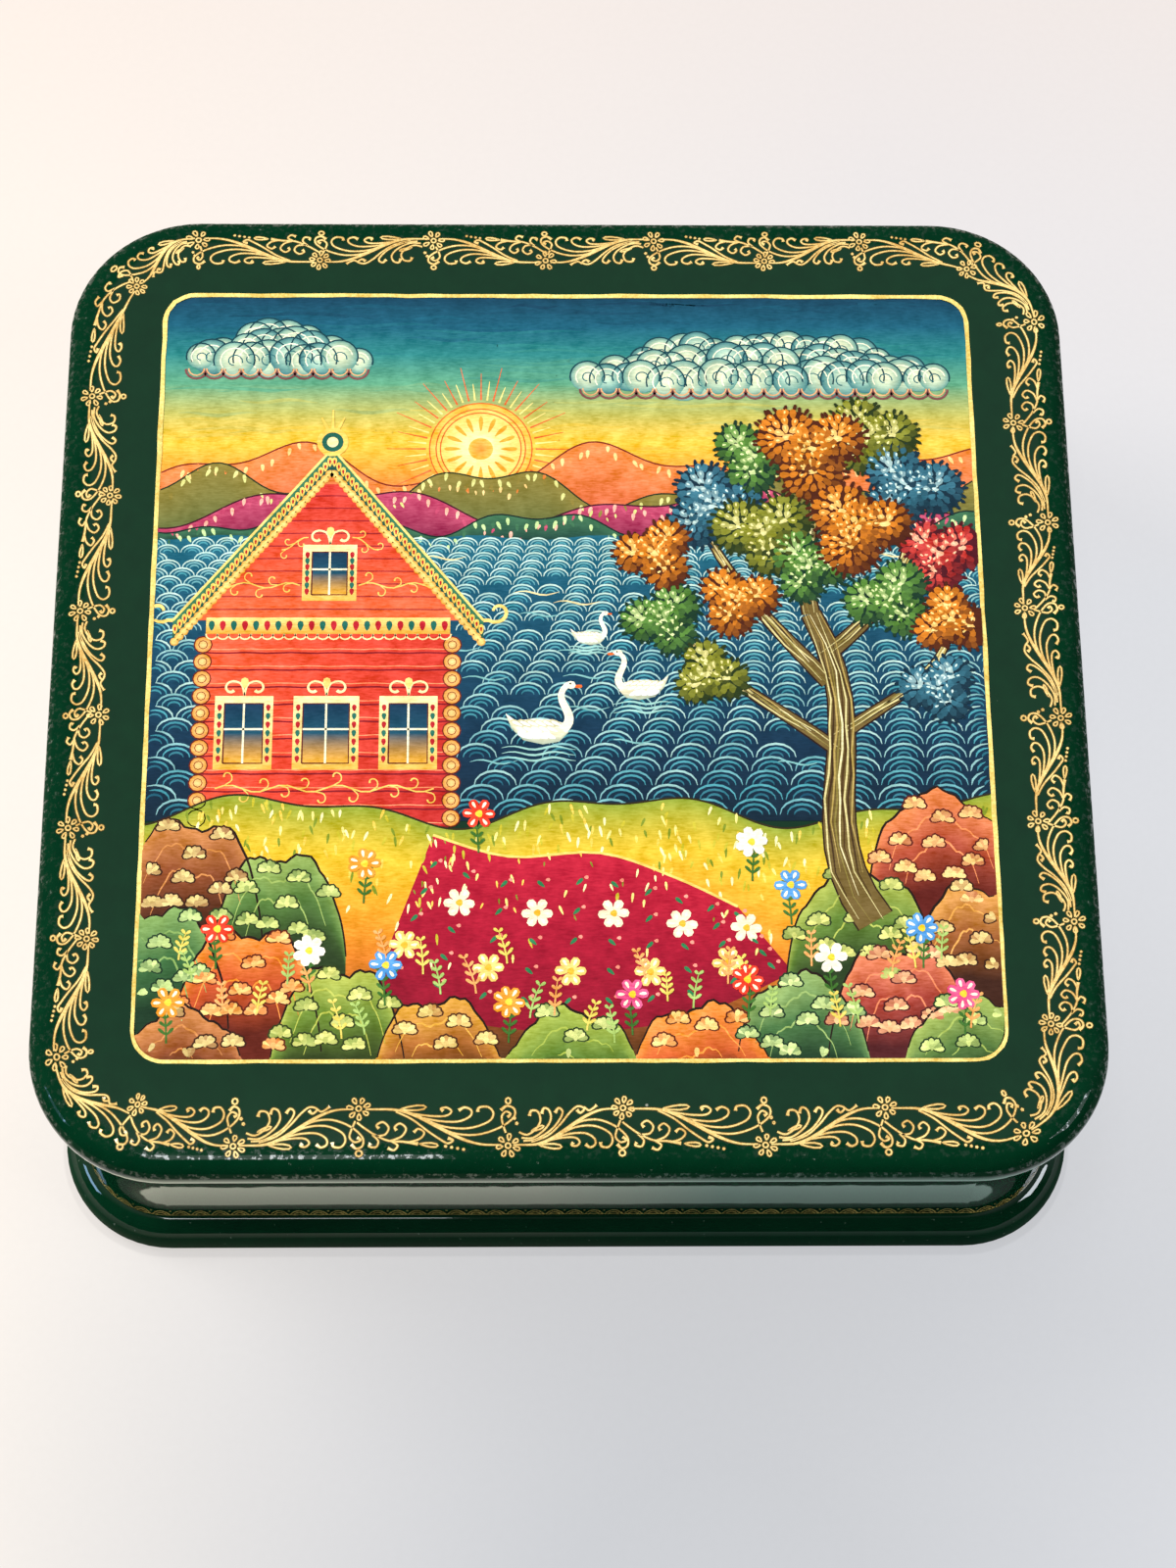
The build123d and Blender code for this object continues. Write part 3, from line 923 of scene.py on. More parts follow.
class Picture:
    """Filled shapes, brush lines and dabs of paint, in millimetres on the lid, with heights above it."""

    def __init__(self, seed):
        self.chance = random.Random(seed)
        self.points, self.faces, self.paint = [], [], []
        self.lines = Strokes()
        self.dabs = []

    def near(self, value, spread):
        return value + self.chance.uniform(-spread, spread)

    def slab(self, points, colours, faces, edge, height):
        """A closed sheet of paint with these top faces and this outer edge."""
        points = [held_in(x, y) for x, y in points]
        first, below, n = len(self.points), len(self.points) + len(points), len(edge)
        top = LID_TOP + height
        self.points += [(x * MM, y * MM, top * MM) for x, y in points]
        self.points += [(points[i][0] * MM, points[i][1] * MM, (top - SLAB) * MM) for i in edge]
        self.paint += colours + [colours[i] for i in edge]
        pairs = list(zip(edge, edge[1:] + edge[:1]))
        turn = sum(points[a][0] * points[b][1] - points[b][0] * points[a][1] for a, b in pairs)
        made = [tuple(first + i for i in face) for face in faces]
        made += [(first + a, below + i, below + (i + 1) % n, first + b) for i, (a, b) in enumerate(pairs)]
        made.append(tuple(below + i for i in reversed(range(n))))
        self.faces += made if turn > 0 else [face[::-1] for face in made]

    def sheet(self, rows, colour, height):
        """Fills the ground between rows of points, coloured by the shares along and down the rows."""
        wide, deep = len(rows[0]), len(rows)
        points = [point for row in rows for point in row]
        colours = [colour(i / (wide - 1), j / (deep - 1)) for j in range(deep) for i in range(wide)]
        corners = [j * wide + i for j in range(deep - 1) for i in range(wide - 1)]
        faces = [(a, a + wide, a + wide + 1, a + 1) for a in corners]
        left = [j * wide for j in range(deep)]
        near = [(deep - 1) * wide + i for i in range(1, wide)]
        right = [j * wide + wide - 1 for j in reversed(range(deep - 1))]
        self.slab(points, colours, faces, left + near + right + list(range(wide - 2, 0, -1)), height)

    def land(self, crest, foot, colours, height, rows, steps):
        """Ground from a crest, given as heights over x, straight down to a foot."""
        base = straight((-INSIDE_X, foot), (INSIDE_X, foot), steps)
        self.sheet(rows_between([(x, crest(x)) for x, _ in base], base, rows), fade(colours), height)

    def disc(self, centre, radius, colours, height, steps, rings, lobes=0, lobe=0.0, lean=0.0):
        """A round or lobed shape with colours from its middle, which may lean upwards, to its edge."""
        points, shades = [(centre[0], centre[1] + lean * radius)], [tint(colours, 0)]
        for j in range(1, rings + 1):
            middle = (centre[0], centre[1] + lean * radius * (1 - j / rings))
            for i in range(steps):
                angle = 2 * pi * i / steps
                r = radius * (1 + lobe * (abs(sin(lobes * angle / 2)) - 0.6)) * j / rings
                points.append(around(middle, angle, r))
                shades.append(tint(colours, j / rings))
        faces = [(0, 1 + i, 1 + (i + 1) % steps) for i in range(steps)]
        for j in range(rings - 1):
            a, b = 1 + j * steps, 1 + (j + 1) * steps
            faces += [(a + i, b + i, b + (i + 1) % steps, a + (i + 1) % steps) for i in range(steps)]
        last = 1 + (rings - 1) * steps
        self.slab(points, shades, faces, list(range(last, last + steps)), height)

    def line(self, path, width, colour, height, closed=False):
        """A brush line, left out where it would cross the gold line."""
        run = []
        for x, y in path + path[: int(closed)] + [OUTSIDE]:
            if fits(x, y):
                run.append((x, y))
                continue
            if len(run) > 1:
                self.lines.add(run, width, linear(colour), LID_TOP + height)
            run = []

    def dab(self, x, y, length, width, turn, colour, height):
        """A dab of paint. Five heights in turn keep dabs that overlap out of one plane."""
        reach = length / 2 + 0.1
        if all(fits(x + side * reach, y + up * reach) for side in (-1, 1) for up in (-1, 1)):
            lift = len(self.dabs) % 5 * 0.0006
            self.dabs.append((x, y, length, width, turn, linear(colour), height + lift))

    def tree_cluster(self, x, y, r, colours, height):
        """A head of leaves: a dark ground and fringe, and rings of dabs that grow paler to the middle."""
        dark, mid, pale = colours
        self.disc((x, y), r, (dark, dark), height, 24, 1, lobes=9, lobe=0.12)
        count = round(2 * pi * r)
        for i in range(count):
            angle = 2 * pi * i / count + self.near(0, 0.08)
            place = around((x, y), angle, r * self.near(1.03, 0.05))
            self.dab(*place, self.near(1.5, 0.3), 0.5, angle + self.near(0, 0.5), dark, height + 0.002)
        for k, share in enumerate((0.86, 0.58, 0.3, 0.0)):
            count = max(1, round(2 * pi * r * share / 1.15))
            for i in range(count):
                angle = 2 * pi * (i + 0.5 * (k % 2)) / count + self.near(0, 0.1)
                place = around((x, y), angle, share * r)
                light = 0.25 + 0.16 * k + 0.18 * sin(angle) - 0.12 * cos(angle) + self.near(0, 0.08)
                turn = angle + self.near(0, 0.3)
                shade = tint(colours, light)
                self.dab(*place, self.near(1.45, 0.2), self.near(0.95, 0.1), turn, shade, height + 0.005)
                if light > 0.45:
                    shade = tint((mid, pale, pale), light)
                    self.dab(*around(place, angle, 0.2), 0.55, 0.28, turn, shade, height + 0.0115)

    def hillock(self, x, y, r, squash, colours, height):
        """A mound of ground with a dark outline and tufts of pale leaves on its crest."""
        dark, mid, light, pale = colours
        shift = self.near(0, 3)
        foot = y - 1.4 * r
        crest = []
        for i in range(41):
            u = -0.985 * cos(pi * i / 40)
            bulge = 1 + 0.05 * sin(7 * u + shift) + 0.035 * abs(sin(13 * u + shift))
            rise = (1 - abs(u) ** 2.8) ** 0.5
            crest.append((x + 1.12 * r * u, foot + (y + r * squash - foot) * rise * bulge))
        rows = rows_between(crest, [(a, foot) for a, _ in crest], 6)
        self.sheet(rows, lambda s, t: tint((light, mid, dark, dark), t + 0.25 * abs(s - 0.4)), height)
        self.line(crest, bell(0.1, 0.1), "1e0e08", height + OVER)
        for inset in (0.78, 0.55):
            step = [(mix(x, a, inset), mix(foot, b, 0.25 + 0.75 * inset)) for a, b in crest[6:-6]]
            self.line(step, bell(0.04, 0.12), light, height + OVER)
        tufts = round(r * 1.3)
        for i in range(tufts):
            a, b = crest[round(40 * (0.12 + 0.76 * (i + 0.5) / tufts))]
            share = (0.95, 0.62, 0.8, 0.45)[i % 4]
            cx, cy = mix(x, a, share) + self.near(0, 0.3), mix(foot, b, share) + self.near(0, 0.2)
            for j in range(7):
                turn = pi * (0.02 + 0.96 * j / 6) + self.near(0, 0.12)
                long = self.near(1.35, 0.2)
                place = (cx + 0.85 * cos(turn), cy + 0.75 * sin(turn))
                self.dab(*place, long + 0.5, 1.0, turn, dark, height + 0.005)
                self.dab(*place, long, 0.66, turn, tint((mid, pale), self.near(0.6, 0.4)), height + 0.0115)
            shade = tint((mid, pale), self.near(0.7, 0.3))
            self.dab(cx, cy + 0.2, 1.0, 0.7, pi / 2, shade, height + 0.0135)

    def blossom(self, x, y, r, petal, middle, height, petals=6):
        for i in range(petals):
            angle = 2 * pi * i / petals + self.near(0, 0.12)
            self.dab(*around((x, y), angle, 0.6 * r), r, 0.62 * r, angle, petal, height)
            self.dab(*around((x, y), angle, 0.7 * r), 0.5 * r, 0.2 * r, angle, "fff2d0", height + 0.006)
        self.dab(x, y, 0.5 * r, 0.5 * r, 0, middle, height + 0.009)

    def sprig(self, x, y, tall, lean, code, height, leaves=5):
        """A stem with pairs of leaves."""
        stem = [(x + lean * tall * (k / 6) ** 1.6, y + tall * k / 6) for k in range(7)]
        self.line(stem, swell(0.14, 0.07), code, height)
        for i in range(1, leaves + 1):
            k = i / leaves
            foot = (x + lean * tall * k ** 1.6, y + tall * k)
            for side in (-1, 1):
                turn = pi / 2 - side * 0.8 - lean * 0.6
                size = self.near(1.25, 0.15) * (1.15 - 0.5 * k)
                self.dab(*around(foot, turn, 0.5 * size), size, 0.42, turn, code, height)

    def curls(self, path, code, width, height, reach):
        """A fine scroll along a path, with a curl to each side in turn."""
        self.line(path, width, code, height)
        for i in range(1, len(path) - 1, 2):
            side = 1 if i % 4 == 1 else -1
            (ax, ay), (bx, by) = path[i - 1], path[i + 1]
            heading = atan2(by - ay, bx - ax)
            centre = around(around(path[i], heading + side * pi / 2, reach), heading, 0.5)
            begin, end = heading - side * 0.4, heading + side * pi * 1.1
            curl = tendril(path[i], heading + side * 0.5, centre, begin, end, 0.6 * reach, 0.24 * reach, 4)
            self.line(curl, swell(width * 0.8, width * 1.3), code, height)


def paint_sky(p):
    top = PICTURE_CENTRE_Y + INSIDE_Y
    p.land(waves(top), HORIZON - 2, SKY, SKY_HIGH, rows=24, steps=30)
    for j in range(150):
        y = p.near((HORIZON + 8 + top) / 2, (top - HORIZON) / 2 - 5)
        k = (top - y) / (top - HORIZON + 2)
        x, length = p.near(0, 50), p.near(16, 10)
        shade = tint(SKY, k + p.near(0, 0.035))
        path = [(x + length * (i / 8 - 0.5), y + 0.25 * sin(i + y)) for i in range(9)]
        p.line(path, bell(0.03, 0.3), shade, STREAKS_HIGH + 0.0008 * (j % 5))
    sun = (-12.0, 33.0)
    for i in range(56):
        far = (13.0, 10.6, 11.8, 10.2)[i % 4]
        path = [around(sun, 2 * pi * i / 56, r) for r in (7.6, 9.0, far)]
        p.line(path, lambda s: 0.15 - 0.1 * s, "ffe08a" if i % 2 else "e8663c", SUN_HIGH)
    p.disc(sun, 7.2, ("fff3b8", "ffe389", "f8b24e"), SUN_HIGH + 0.0035, 40, 3)
    for r in (7.1, 6.2, 5.6):
        p.line(ring(sun, r, 40), 0.1, "d9622c", SUN_HIGH + 0.006, closed=True)
    for i in range(16):
        angle = 2 * pi * i / 16
        p.dab(*around(sun, angle, 3.9), 2.4, 0.6, angle, "f2a23c", SUN_HIGH + 0.006)
    p.disc(sun, 1.7, ("f08a3a", "f7b85a"), SUN_HIGH + 0.0135, 20, 1)


def paint_clouds(p):
    """Two banks of cloud made of puffs, each with dark and pale curls round it."""
    for left, right, level, tall, seed in ((2, 53, 44.0, 6.0, 1), (-53, -28, 47.0, 4.0, 2)):
        chance = random.Random(seed)
        count = round((right - left) / 2.6)
        puffs = []
        for row in range(3):
            for i in range(count - 3 * row):
                k = (i + 0.5 + row * 1.5) / count
                x = mix(left, right, k) + chance.uniform(-0.6, 0.6)
                hump = sin(pi * k) ** 0.6
                y = level + row * tall * 0.42 * hump + chance.uniform(-0.5, 0.5)
                size = (2.7 - 0.2 * row) * (0.75 + 0.35 * hump) * chance.uniform(0.85, 1.15)
                puffs.append((row, x, y, size))
        puffs.sort(key=lambda puff: (-puff[0], abs(puff[1] - (left + right) / 2)))
        for i, (row, x, y, r) in enumerate(puffs):
            high = CLOUDS_HIGH + 0.0012 * (i % 9) + (2 - row) * 0.011
            body = ("efe9bf", "c5d2ae", "5f9488") if (i + row) % 3 else ("dfe6c4", "8fb8a4", "3a7274")
            p.disc((x, y), r, body, high, 18, 3, lean=0.2)
            p.line(arc((x, y), -0.3, pi + 0.3, r, r, 14), 0.13, "123c44", high + OVER)
            p.line(arc((x, y - 0.1), 0.2, pi + 0.6, r * 0.72, r * 0.66, 10), 0.1, "f6f0cc", high + OVER)
            p.line(arc((x, y - 0.2), -0.2, pi * 1.5, r * 0.42, r * 0.2, 10), 0.1, "2c6468", high + OVER)
        for i in range(count):
            x = left + (right - left) * (i + 0.5) / count
            p.line(arc((x, level - 1.6), pi, 2 * pi, 1.5, 1.5, 8), 0.2, "7a4a48", CLOUDS_HIGH + 0.03)
            p.line(arc((x, level - 1.5), pi, 2 * pi, 1.1, 1.1, 8), 0.12, "e2a878", CLOUDS_HIGH + 0.035)


def paint_far_hills(p):
    shapes = (
        (waves(30.0, (3.0, 46, 5), (1.4, 19, 2)), ("e88a54", "c5533f"), "7c2a20", "ffd08a"),
        (waves(27.0, (2.6, 38, 20), (1.2, 15, 7)), ("8a7a3a", "4d5f34"), "1e2e18", "dcd888"),
        (waves(24.2, (2.2, 52, -8), (1.3, 23, 3)), ("c0506a", "7a2440"), "3c0e1e", "ffb8a0"),
        (waves(21.6, (1.4, 31, 12), (0.8, 13, 1)), ("3d6a4a", "173c34"), "0c2420", "c4dc98"),
    )
    for i, (crest, colours, edge, pale) in enumerate(shapes):
        high = HILLS_HIGH + 0.0055 * i
        p.land(crest, HORIZON - 3.0, colours, high, rows=3, steps=70)
        p.line([(x, crest(x)) for x in range(-56, 57)], 0.13, edge, high + SLAB)
        for j in range(90):
            x = -55 + 110 * (j + 0.5) / 90 + p.near(0, 0.3)
            y = crest(x) - p.near(1.2, 0.7)
            p.dab(x, y, p.near(1.2, 0.2), 0.5, p.near(1.6, 0.5), pale if j % 3 else colours[0], high + SLAB)


def paint_lake(p):
    """Dark water with rows of fine scalloped waves, like scales, closer together far away."""
    p.land(waves(HORIZON - 2.6, (0.4, 17, 0)), SHORE - 6, LAKE, LAKE_HIGH, rows=8, steps=40)
    y, row = HORIZON - 3.4, 0
    while y > SHORE - 5:
        k = (HORIZON - y) / (HORIZON - SHORE)
        span = 3.0 + 3.0 * k
        tall = 0.55 * span
        x = -58 + (row % 2) * span / 2
        while x < 57:
            cx, cy = x + span / 2, y - tall * 0.2
            behind_house = -50 < cx < -14 and cy < 9
            if not behind_house and not p.chance.random() < 0.04:
                for size, shade in ((1.0, 0.75), (0.68, 0.45), (0.36, 0.25)):
                    half, rise = span / 2 * size * 0.93, tall * 0.62 * size
                    path = [(cx - half * cos(pi * t / 8), cy + rise * sin(pi * t / 8)) for t in range(9)]
                    ink = tint(("12455a", "4f98a0", "c4dccb"), shade + 0.3 - 0.4 * k + p.near(0, 0.12))
                    p.line(path, bell(0.05, 0.08 + 0.06 * k), ink, LAKE_HIGH + OVER)
            x += span
        y -= tall * 0.62
        row += 1
    for _ in range(26):
        x, y = p.near(0, 50), p.near(2, 16)
        path = [(x + t * 0.9, y + 0.3 * sin(t)) for t in range(8)]
        p.line(path, bell(0.03, 0.12), "e9d49a" if y > 8 else "7fb3ae", LAKE_HIGH + 0.005)


def paint_house(p):
    """A carved wooden house with a steep roof."""
    high = HOUSE_HIGH
    left, right, low, eaves, peak = -49.0, -16.0, -24.0, 8.0, (-32.5, 33.0)
    over, roof_low, board = 4.5, eaves - 1.0, 3.4
    cream, gilt, red = "f6d27c", "f3c766", "b02c2c"

    def half_gable(y, inset):
        """Half the gable's width at a height."""
        return (peak[1] - inset - y) / (peak[1] - eaves + 1.0) * (right - left + 2 * over) / 2

    # The wall: a red ground, the joints of its logs and their round ends
    top, bottom = [straight((left, y), (right, y), 12) for y in (eaves, low)]
    p.sheet(rows_between(top, bottom, 8), fade(("f2704c", "dd4a38", "b52a2c"), 0.15, 0.5, 0.3), high)
    level = low + 1.2
    while level < eaves - 3.4:
        path = [(left + (right - left) * i / 20, level + 0.06 * sin(i * 1.7 + level)) for i in range(21)]
        p.line(path, 0.13, "7c1420", high + OVER)
        p.line([(x, y + 0.55) for x, y in path], 0.07, "ff9a70", high + OVER)
        for x in (left - 0.3, right + 0.3):
            end = (x, level + 1.2)
            p.disc(end, 1.25, ("f6d08a", "d98a3c"), high + 0.003, 14, 1)
            p.line(ring(end, 1.2, 12), 0.1, "6a1c14", high + 0.007, closed=True)
            p.line(ring(end, 0.6, 8), 0.07, "8a3a18", high + 0.007, closed=True)
        level += 2.5
    # The gable with its boards
    rows = []
    for j in range(7):
        y = peak[1] - 5.5 + (eaves - 1.0 - peak[1] + 5.5) * j / 6
        half = half_gable(y, 2.5)
        rows.append([(peak[0] + half * (2 * i / 10 - 1), y) for i in range(11)])
    p.sheet(rows, fade(("c9353a", "e0553f", "f07a4c"), 0.2, 0.0, 0.6), high + 0.003)
    for j in range(11):
        y = eaves + 0.6 + 1.9 * j
        half = half_gable(y, 4.5)
        if half > 1:
            path = [(peak[0] - half, y), (peak[0], y + 0.05), (peak[0] + half, y)]
            p.line(path, 0.09, "8c1c28", high + 0.007)
    # The bargeboards, with a row of drops and a curl at the foot
    for side in (-1, 1):
        foot = (peak[0] + side * (peak[0] - (left - over)), roof_low)
        slope = straight(peak, foot, 12)
        inner = [(x, y - board) for x, y in slope]
        p.sheet([slope, inner], fade(("3f7a54", "1f5a4a", "123e3c")), high + 0.006)
        p.line(slope, 0.2, cream, high + 0.011)
        p.line(inner, 0.16, cream, high + 0.011)
        for t in range(34):
            k = (t + 0.5) / 34
            x, y = mix(peak[0], foot[0], k), mix(peak[1], roof_low, k)
            p.disc((x, y - board - 0.15), 0.62, ("f9dc92", "e2a24c"), high + 0.008, 8, 1)
            p.dab(x, y - board * 0.5, 1.5, 0.7, pi / 2, gilt, high + 0.011)
            p.dab(x, y - board * 0.5, 0.7, 0.3, pi / 2, red, high + 0.017)
        centre, heading = (foot[0] + side * 2.0, roof_low + 1.4), 0.4 if side > 0 else pi - 0.4
        curl = tendril(foot, heading, centre, -pi / 2, -pi / 2 + side * 1.5 * pi, 1.6, 0.7, 3)
        p.line(curl, swell(0.3, 0.2), cream, high + 0.011)
    # The finial
    for r, code in ((2.2, gilt), (1.5, "1f5a4a"), (0.8, "f9e6a8")):
        p.disc((peak[0], peak[1] + 1.0), r, (code, code), high + 0.0175 - r * 0.002, 18, 1)
    for side in (-1, 0, 1):
        tip = (peak[0] + side * 1.6, peak[1] + 6.0 - abs(side) * 1.2)
        p.line([(peak[0] + side * 0.6, peak[1] + 2.8), tip], lambda s: 0.28 - 0.16 * s, gilt, high + 0.011)
    for x, y, wide, tall in (
        (-43.5, -9.5, 5.2, 8.6), (-32.5, -9.5, 6.2, 8.6), (-21.5, -9.5, 5.2, 8.6), (peak[0], 14.0, 4.8, 6.4)
    ):
        paint_window(p, x, y, wide, tall, high + 0.009)
    # The carved band under the gable
    rows = [straight((left, y), (right, y), 20) for y in (eaves - 0.6, eaves - 3.0)]
    p.sheet(rows, fade(("f7d684", "dfa044")), high + 0.005)
    for i in range(22):
        x = left + (right - left) * (i + 0.5) / 22
        p.dab(x, eaves - 1.8, 1.5, 0.8, pi / 2, "b5222c" if i % 2 else "1f6152", high + 0.009)
        p.line(arc((x, eaves - 3.0), pi, 2 * pi, 0.72, 0.9, 6), 0.12, "f9e0a0", high + 0.011)
    # Fine scrolls
    path = [(left + 2 + (right - left - 4) * i / 24, low + 6.6 + 0.5 * sin(i * pi / 3)) for i in range(25)]
    p.curls(path, "f4c66a", 0.12, high + 0.012, 1.3)
    for side in (-1, 1):
        path = [(peak[0] + side * (4.0 + 0.95 * i), 12.2 + 0.4 * sin(i)) for i in range(12)]
        p.curls(path, "f4c66a", 0.11, high + 0.012, 1.1)
        path = [(peak[0] + side * (3.0 + 0.6 * i), 19.4 + 0.3 * sin(i) - 0.3 * i) for i in range(7)]
        p.curls(path, "f4c66a", 0.1, high + 0.012, 0.9)


def paint_window(p, x, y, wide, tall, high):
    """A lit window in a carved surround."""
    half, low, top = wide / 2, y - tall / 2, y + tall / 2

    def pane(out, bottom, head, colours, lift):
        columns = (x - half - out, x, x + half + out)
        rows = [[(u, v) for u in columns] for v in (head, (bottom + head) / 2, bottom)]
        p.sheet(rows, fade(colours), lift)

    pane(1.3, low - 0.9, top + 1.1, ("f8e2a4", "e8b458"), high)
    pane(0.0, low, top, ("12324a", "1b4a5c", "e8a844"), high + 0.003)
    corners = [(x - half, low), (x + half, low), (x + half, top), (x - half, top)]
    p.line(corners, 0.12, "5a1418", high + 0.006, closed=True)
    for path in ([(x, low), (x, top)], [(x - half, y + 0.6), (x + half, y + 0.6)]):
        p.line(path, 0.16, "f8ecc4", high + 0.007)
    for i in range(7):
        code = "2a6a58" if i % 2 else "b3262c"
        for side in (-1, 1):
            place = (x + side * (half + 0.65), low + tall * ((i + 0.5) / 7))
            p.dab(*place, 1.0, 0.6, pi / 2, code, high + OVER)
    for side in (-1, 1):
        begin, end = pi / 2 + side * 0.6, pi / 2 - side * 1.3 * pi
        centre = (x + side * 1.8, top + 2.2)
        crest = tendril((x, top + 1.2), pi / 2 - side * 0.2, centre, begin, end, 1.2, 0.5, 4)
        p.line(crest, swell(0.16, 0.26), "f8e2a4", high + 0.007)
    p.dab(x, top + 3.0, 1.6, 1.0, pi / 2, "f6d27c", high + 0.009)


def paint_swans(p):
    high = SWANS_HIGH
    back = ((-5, 2.4), (-3.6, 1.3), (-1.4, 1.6), (1.2, 1.5), (3, 0.9), (3.4, -0.4))
    belly = ((-5, 2.4), (-4.2, 0.2), (-2.6, -1.5), (0, -2.1), (2.2, -1.7), (3.4, -0.4))
    for x, y, size, way in ((-3.5, -9.0, 1.0, 1), (9.5, -3.0, 0.8, -1), (3.0, 4.5, 0.55, 1)):
        def at(u, v):
            return x + way * u * size, y + v * size

        outline, keel = [at(u, v) for u, v in back], [at(u, v) for u, v in belly]
        middle = [((a + c) / 2, (b + d) / 2) for (a, b), (c, d) in zip(outline, keel)]
        p.sheet([outline, middle, keel], fade(("fffae2", "f3e3bc", "a9b39a")), high)
        neck = bezier(at(2.6, 0.0), at(5.4, 2.2), at(0.8, 4.2), at(3.2, 6.4), 12)
        p.line(neck, lambda s: (0.78 - 0.34 * s) * size, "fbf2d2", high + OVER)
        p.dab(*at(3.6, 6.5), 1.7 * size, 1.1 * size, 0, "fbf2d2", high + 0.03)
        p.dab(*at(4.7, 6.3), 1.3 * size, 0.5 * size, 0 if way > 0 else pi, "e8662c", high + 0.03)
        p.dab(*at(3.7, 6.7), 0.3 * size, 0.3 * size, 0, "201010", high + 0.04)
        turn = pi * 0.86 if way > 0 else pi * 0.14
        for k, code in enumerate(("d9cfa4", "f2e6c0", "ffffff")):
            for i in range(6 - k):
                place = at(-3.4 + 1.05 * i + 0.5 * k, 0.9 - 0.85 * k)
                p.dab(*place, 2.2 * size, 0.8 * size, turn, code, high + 0.006)
                p.dab(*place, 1.6 * size, 0.42 * size, turn, "fffdf0", high + 0.0125)
        for k in range(3):
            path = [at(-5.5 + 0.9 * i, -2.6 - 0.8 * k + 0.25 * sin(i)) for i in range(12)]
            p.line(path, bell(0.03, 0.15), "9cc8bc", high)


def paint_tree(p):
    """A big old tree at the right, with heads of leaves in autumn colours."""
    high = TREE_HIGH
    limbs = (
        ((40, -36), (30, -22), (42, -10), (33, 8), 12, 2.9, 1.5),
        ((35, -2), (28, 6), (24, 10), (19, 20), 8, 1.2, 0.5),
        ((35, 2), (42, 8), (46, 12), (48, 24), 8, 1.2, 0.5),
        ((33, 8), (31, 16), (35, 22), (34, 34), 8, 1.3, 0.5),
        ((36, -12), (26, -4), (20, -2), (15, 6), 8, 1.0, 0.4),
        ((36, -10), (44, -4), (50, -2), (52, 6), 8, 1.0, 0.4),
    )
    for *curve, thick, thin in limbs:
        path = bezier(*curve)
        p.line(path, lambda s: mix(thick, thin, s) + 0.25, "2a150c", high)
        p.line(path, swell(thick, thin, 1), "6f5a30", high + 0.02)
    for *curve, thick, thin in limbs:
        path = bezier(*curve)
        bark_high = high + (0.09 if thick > 2 else 0.05)
        for k in range(9):
            off = (k / 8 - 0.5) * 1.5
            line = []
            for i, (x, y) in enumerate(path):
                reach = off * mix(thick, thin, i / (len(path) - 1))
                line.append((x + reach + 0.2 * sin(i * 2.2 + k), y + 0.2 * cos(i + k)))
            code = ("d9c98a", "3f2a14", "b59a58", "8b7a40", "f0e0a8", "4c3418")[k % 6]
            p.line(line[k % 3 : len(line) - k % 2], bell(0.04, 0.12), code, bark_high)
    heads = (
        (20, 24, 6.4, BLUE_LEAVES), (47, 27, 6.8, BLUE_LEAVES), (34, 33, 7.2, ORANGE_LEAVES),
        (26, 32, 5.4, GREEN_LEAVES), (42, 35, 5.6, OLIVE_LEAVES), (12, 17, 5.2, ORANGE_LEAVES),
        (51, 17, 5.6, ROSE_LEAVES), (27, 20, 6.2, OLIVE_LEAVES), (40, 21, 6.6, ORANGE_LEAVES),
        (13, 7, 5.0, GREEN_LEAVES), (33, 15, 5.2, GREEN_LEAVES), (52, 7, 5.0, ORANGE_LEAVES),
        (23, 10, 5.0, ORANGE_LEAVES), (44, 10, 5.6, GREEN_LEAVES), (19, -1, 4.4, OLIVE_LEAVES),
        (50, -3, 4.6, BLUE_LEAVES),
    )
    for i, (x, y, r, colours) in enumerate(heads):
        turn = p.near(0, pi)
        for j in range(4):
            angle, share = turn + j * 2 * pi / 3, 0.56 if j < 3 else 0.0
            place = (x + share * r * cos(angle), y + 0.85 * share * r * sin(angle))
            lift = high + 0.07 + 0.0145 * (i % 3) + 0.0007 * (j + i // 3)
            p.tree_cluster(*place, r * p.near(0.56, 0.06), colours, lift)


def paint_meadow(p):
    crest = waves(SHORE - 4.5, (1.8, 47, 4), (0.9, 21, 9))
    p.land(crest, PICTURE_CENTRE_Y - INSIDE_Y, MEADOW, MEADOW_HIGH, rows=10, steps=70)
    p.line([(x, crest(x)) for x in range(-56, 57)], 0.16, "2c2410", MEADOW_HIGH + OVER)
    for j in range(420):
        x = p.near(0, 55.5)
        y = crest(x) - abs(p.chance.gauss(0, 8)) - 0.6
        code = ("fbe28a", "c5b53c", "7c8a2c", "f6c860", "fff0b0")[j % 5]
        p.dab(x, y, p.near(1.4, 0.3), 0.36, p.near(1.57, 0.45), code, MEADOW_HIGH + OVER)


def paint_flower_bed(p):
    high = MEADOW_HIGH
    far = [(-18, -24), (-8, -27), (4, -26.5), (14, -30), (22, -34)]
    near = [(-26, -46), (-12, -50), (2, -51), (16, -49), (29, -43)]
    rows = [smoothed(row, 5) for row in rows_between(far, near, 6)]
    p.sheet(rows, fade(("c22438", "a3122c", "7c0a22"), 0.15, 0.0, 0.7), high + 0.006)
    p.line(rows[0], 0.2, "f6cf70", high + 0.011)
    for j in range(1, 6):
        row = rows[j]
        for i in range(1, len(row) - 1, 2):
            x, y = row[i]
            if (i + j) % 4 == 1:
                p.blossom(x, y, 1.9, ("ff8a6a", "ffd27c", "f7e6c0")[j % 3], "f2b23c", high + 0.012)
            else:
                p.dab(x, y, 1.3, 0.5, 0.8 * (i % 4), "2f7a4c", high + 0.011)
                p.dab(x + 0.9, y + 0.6, 0.6, 0.5, 0, "ff9a86", high + 0.011)


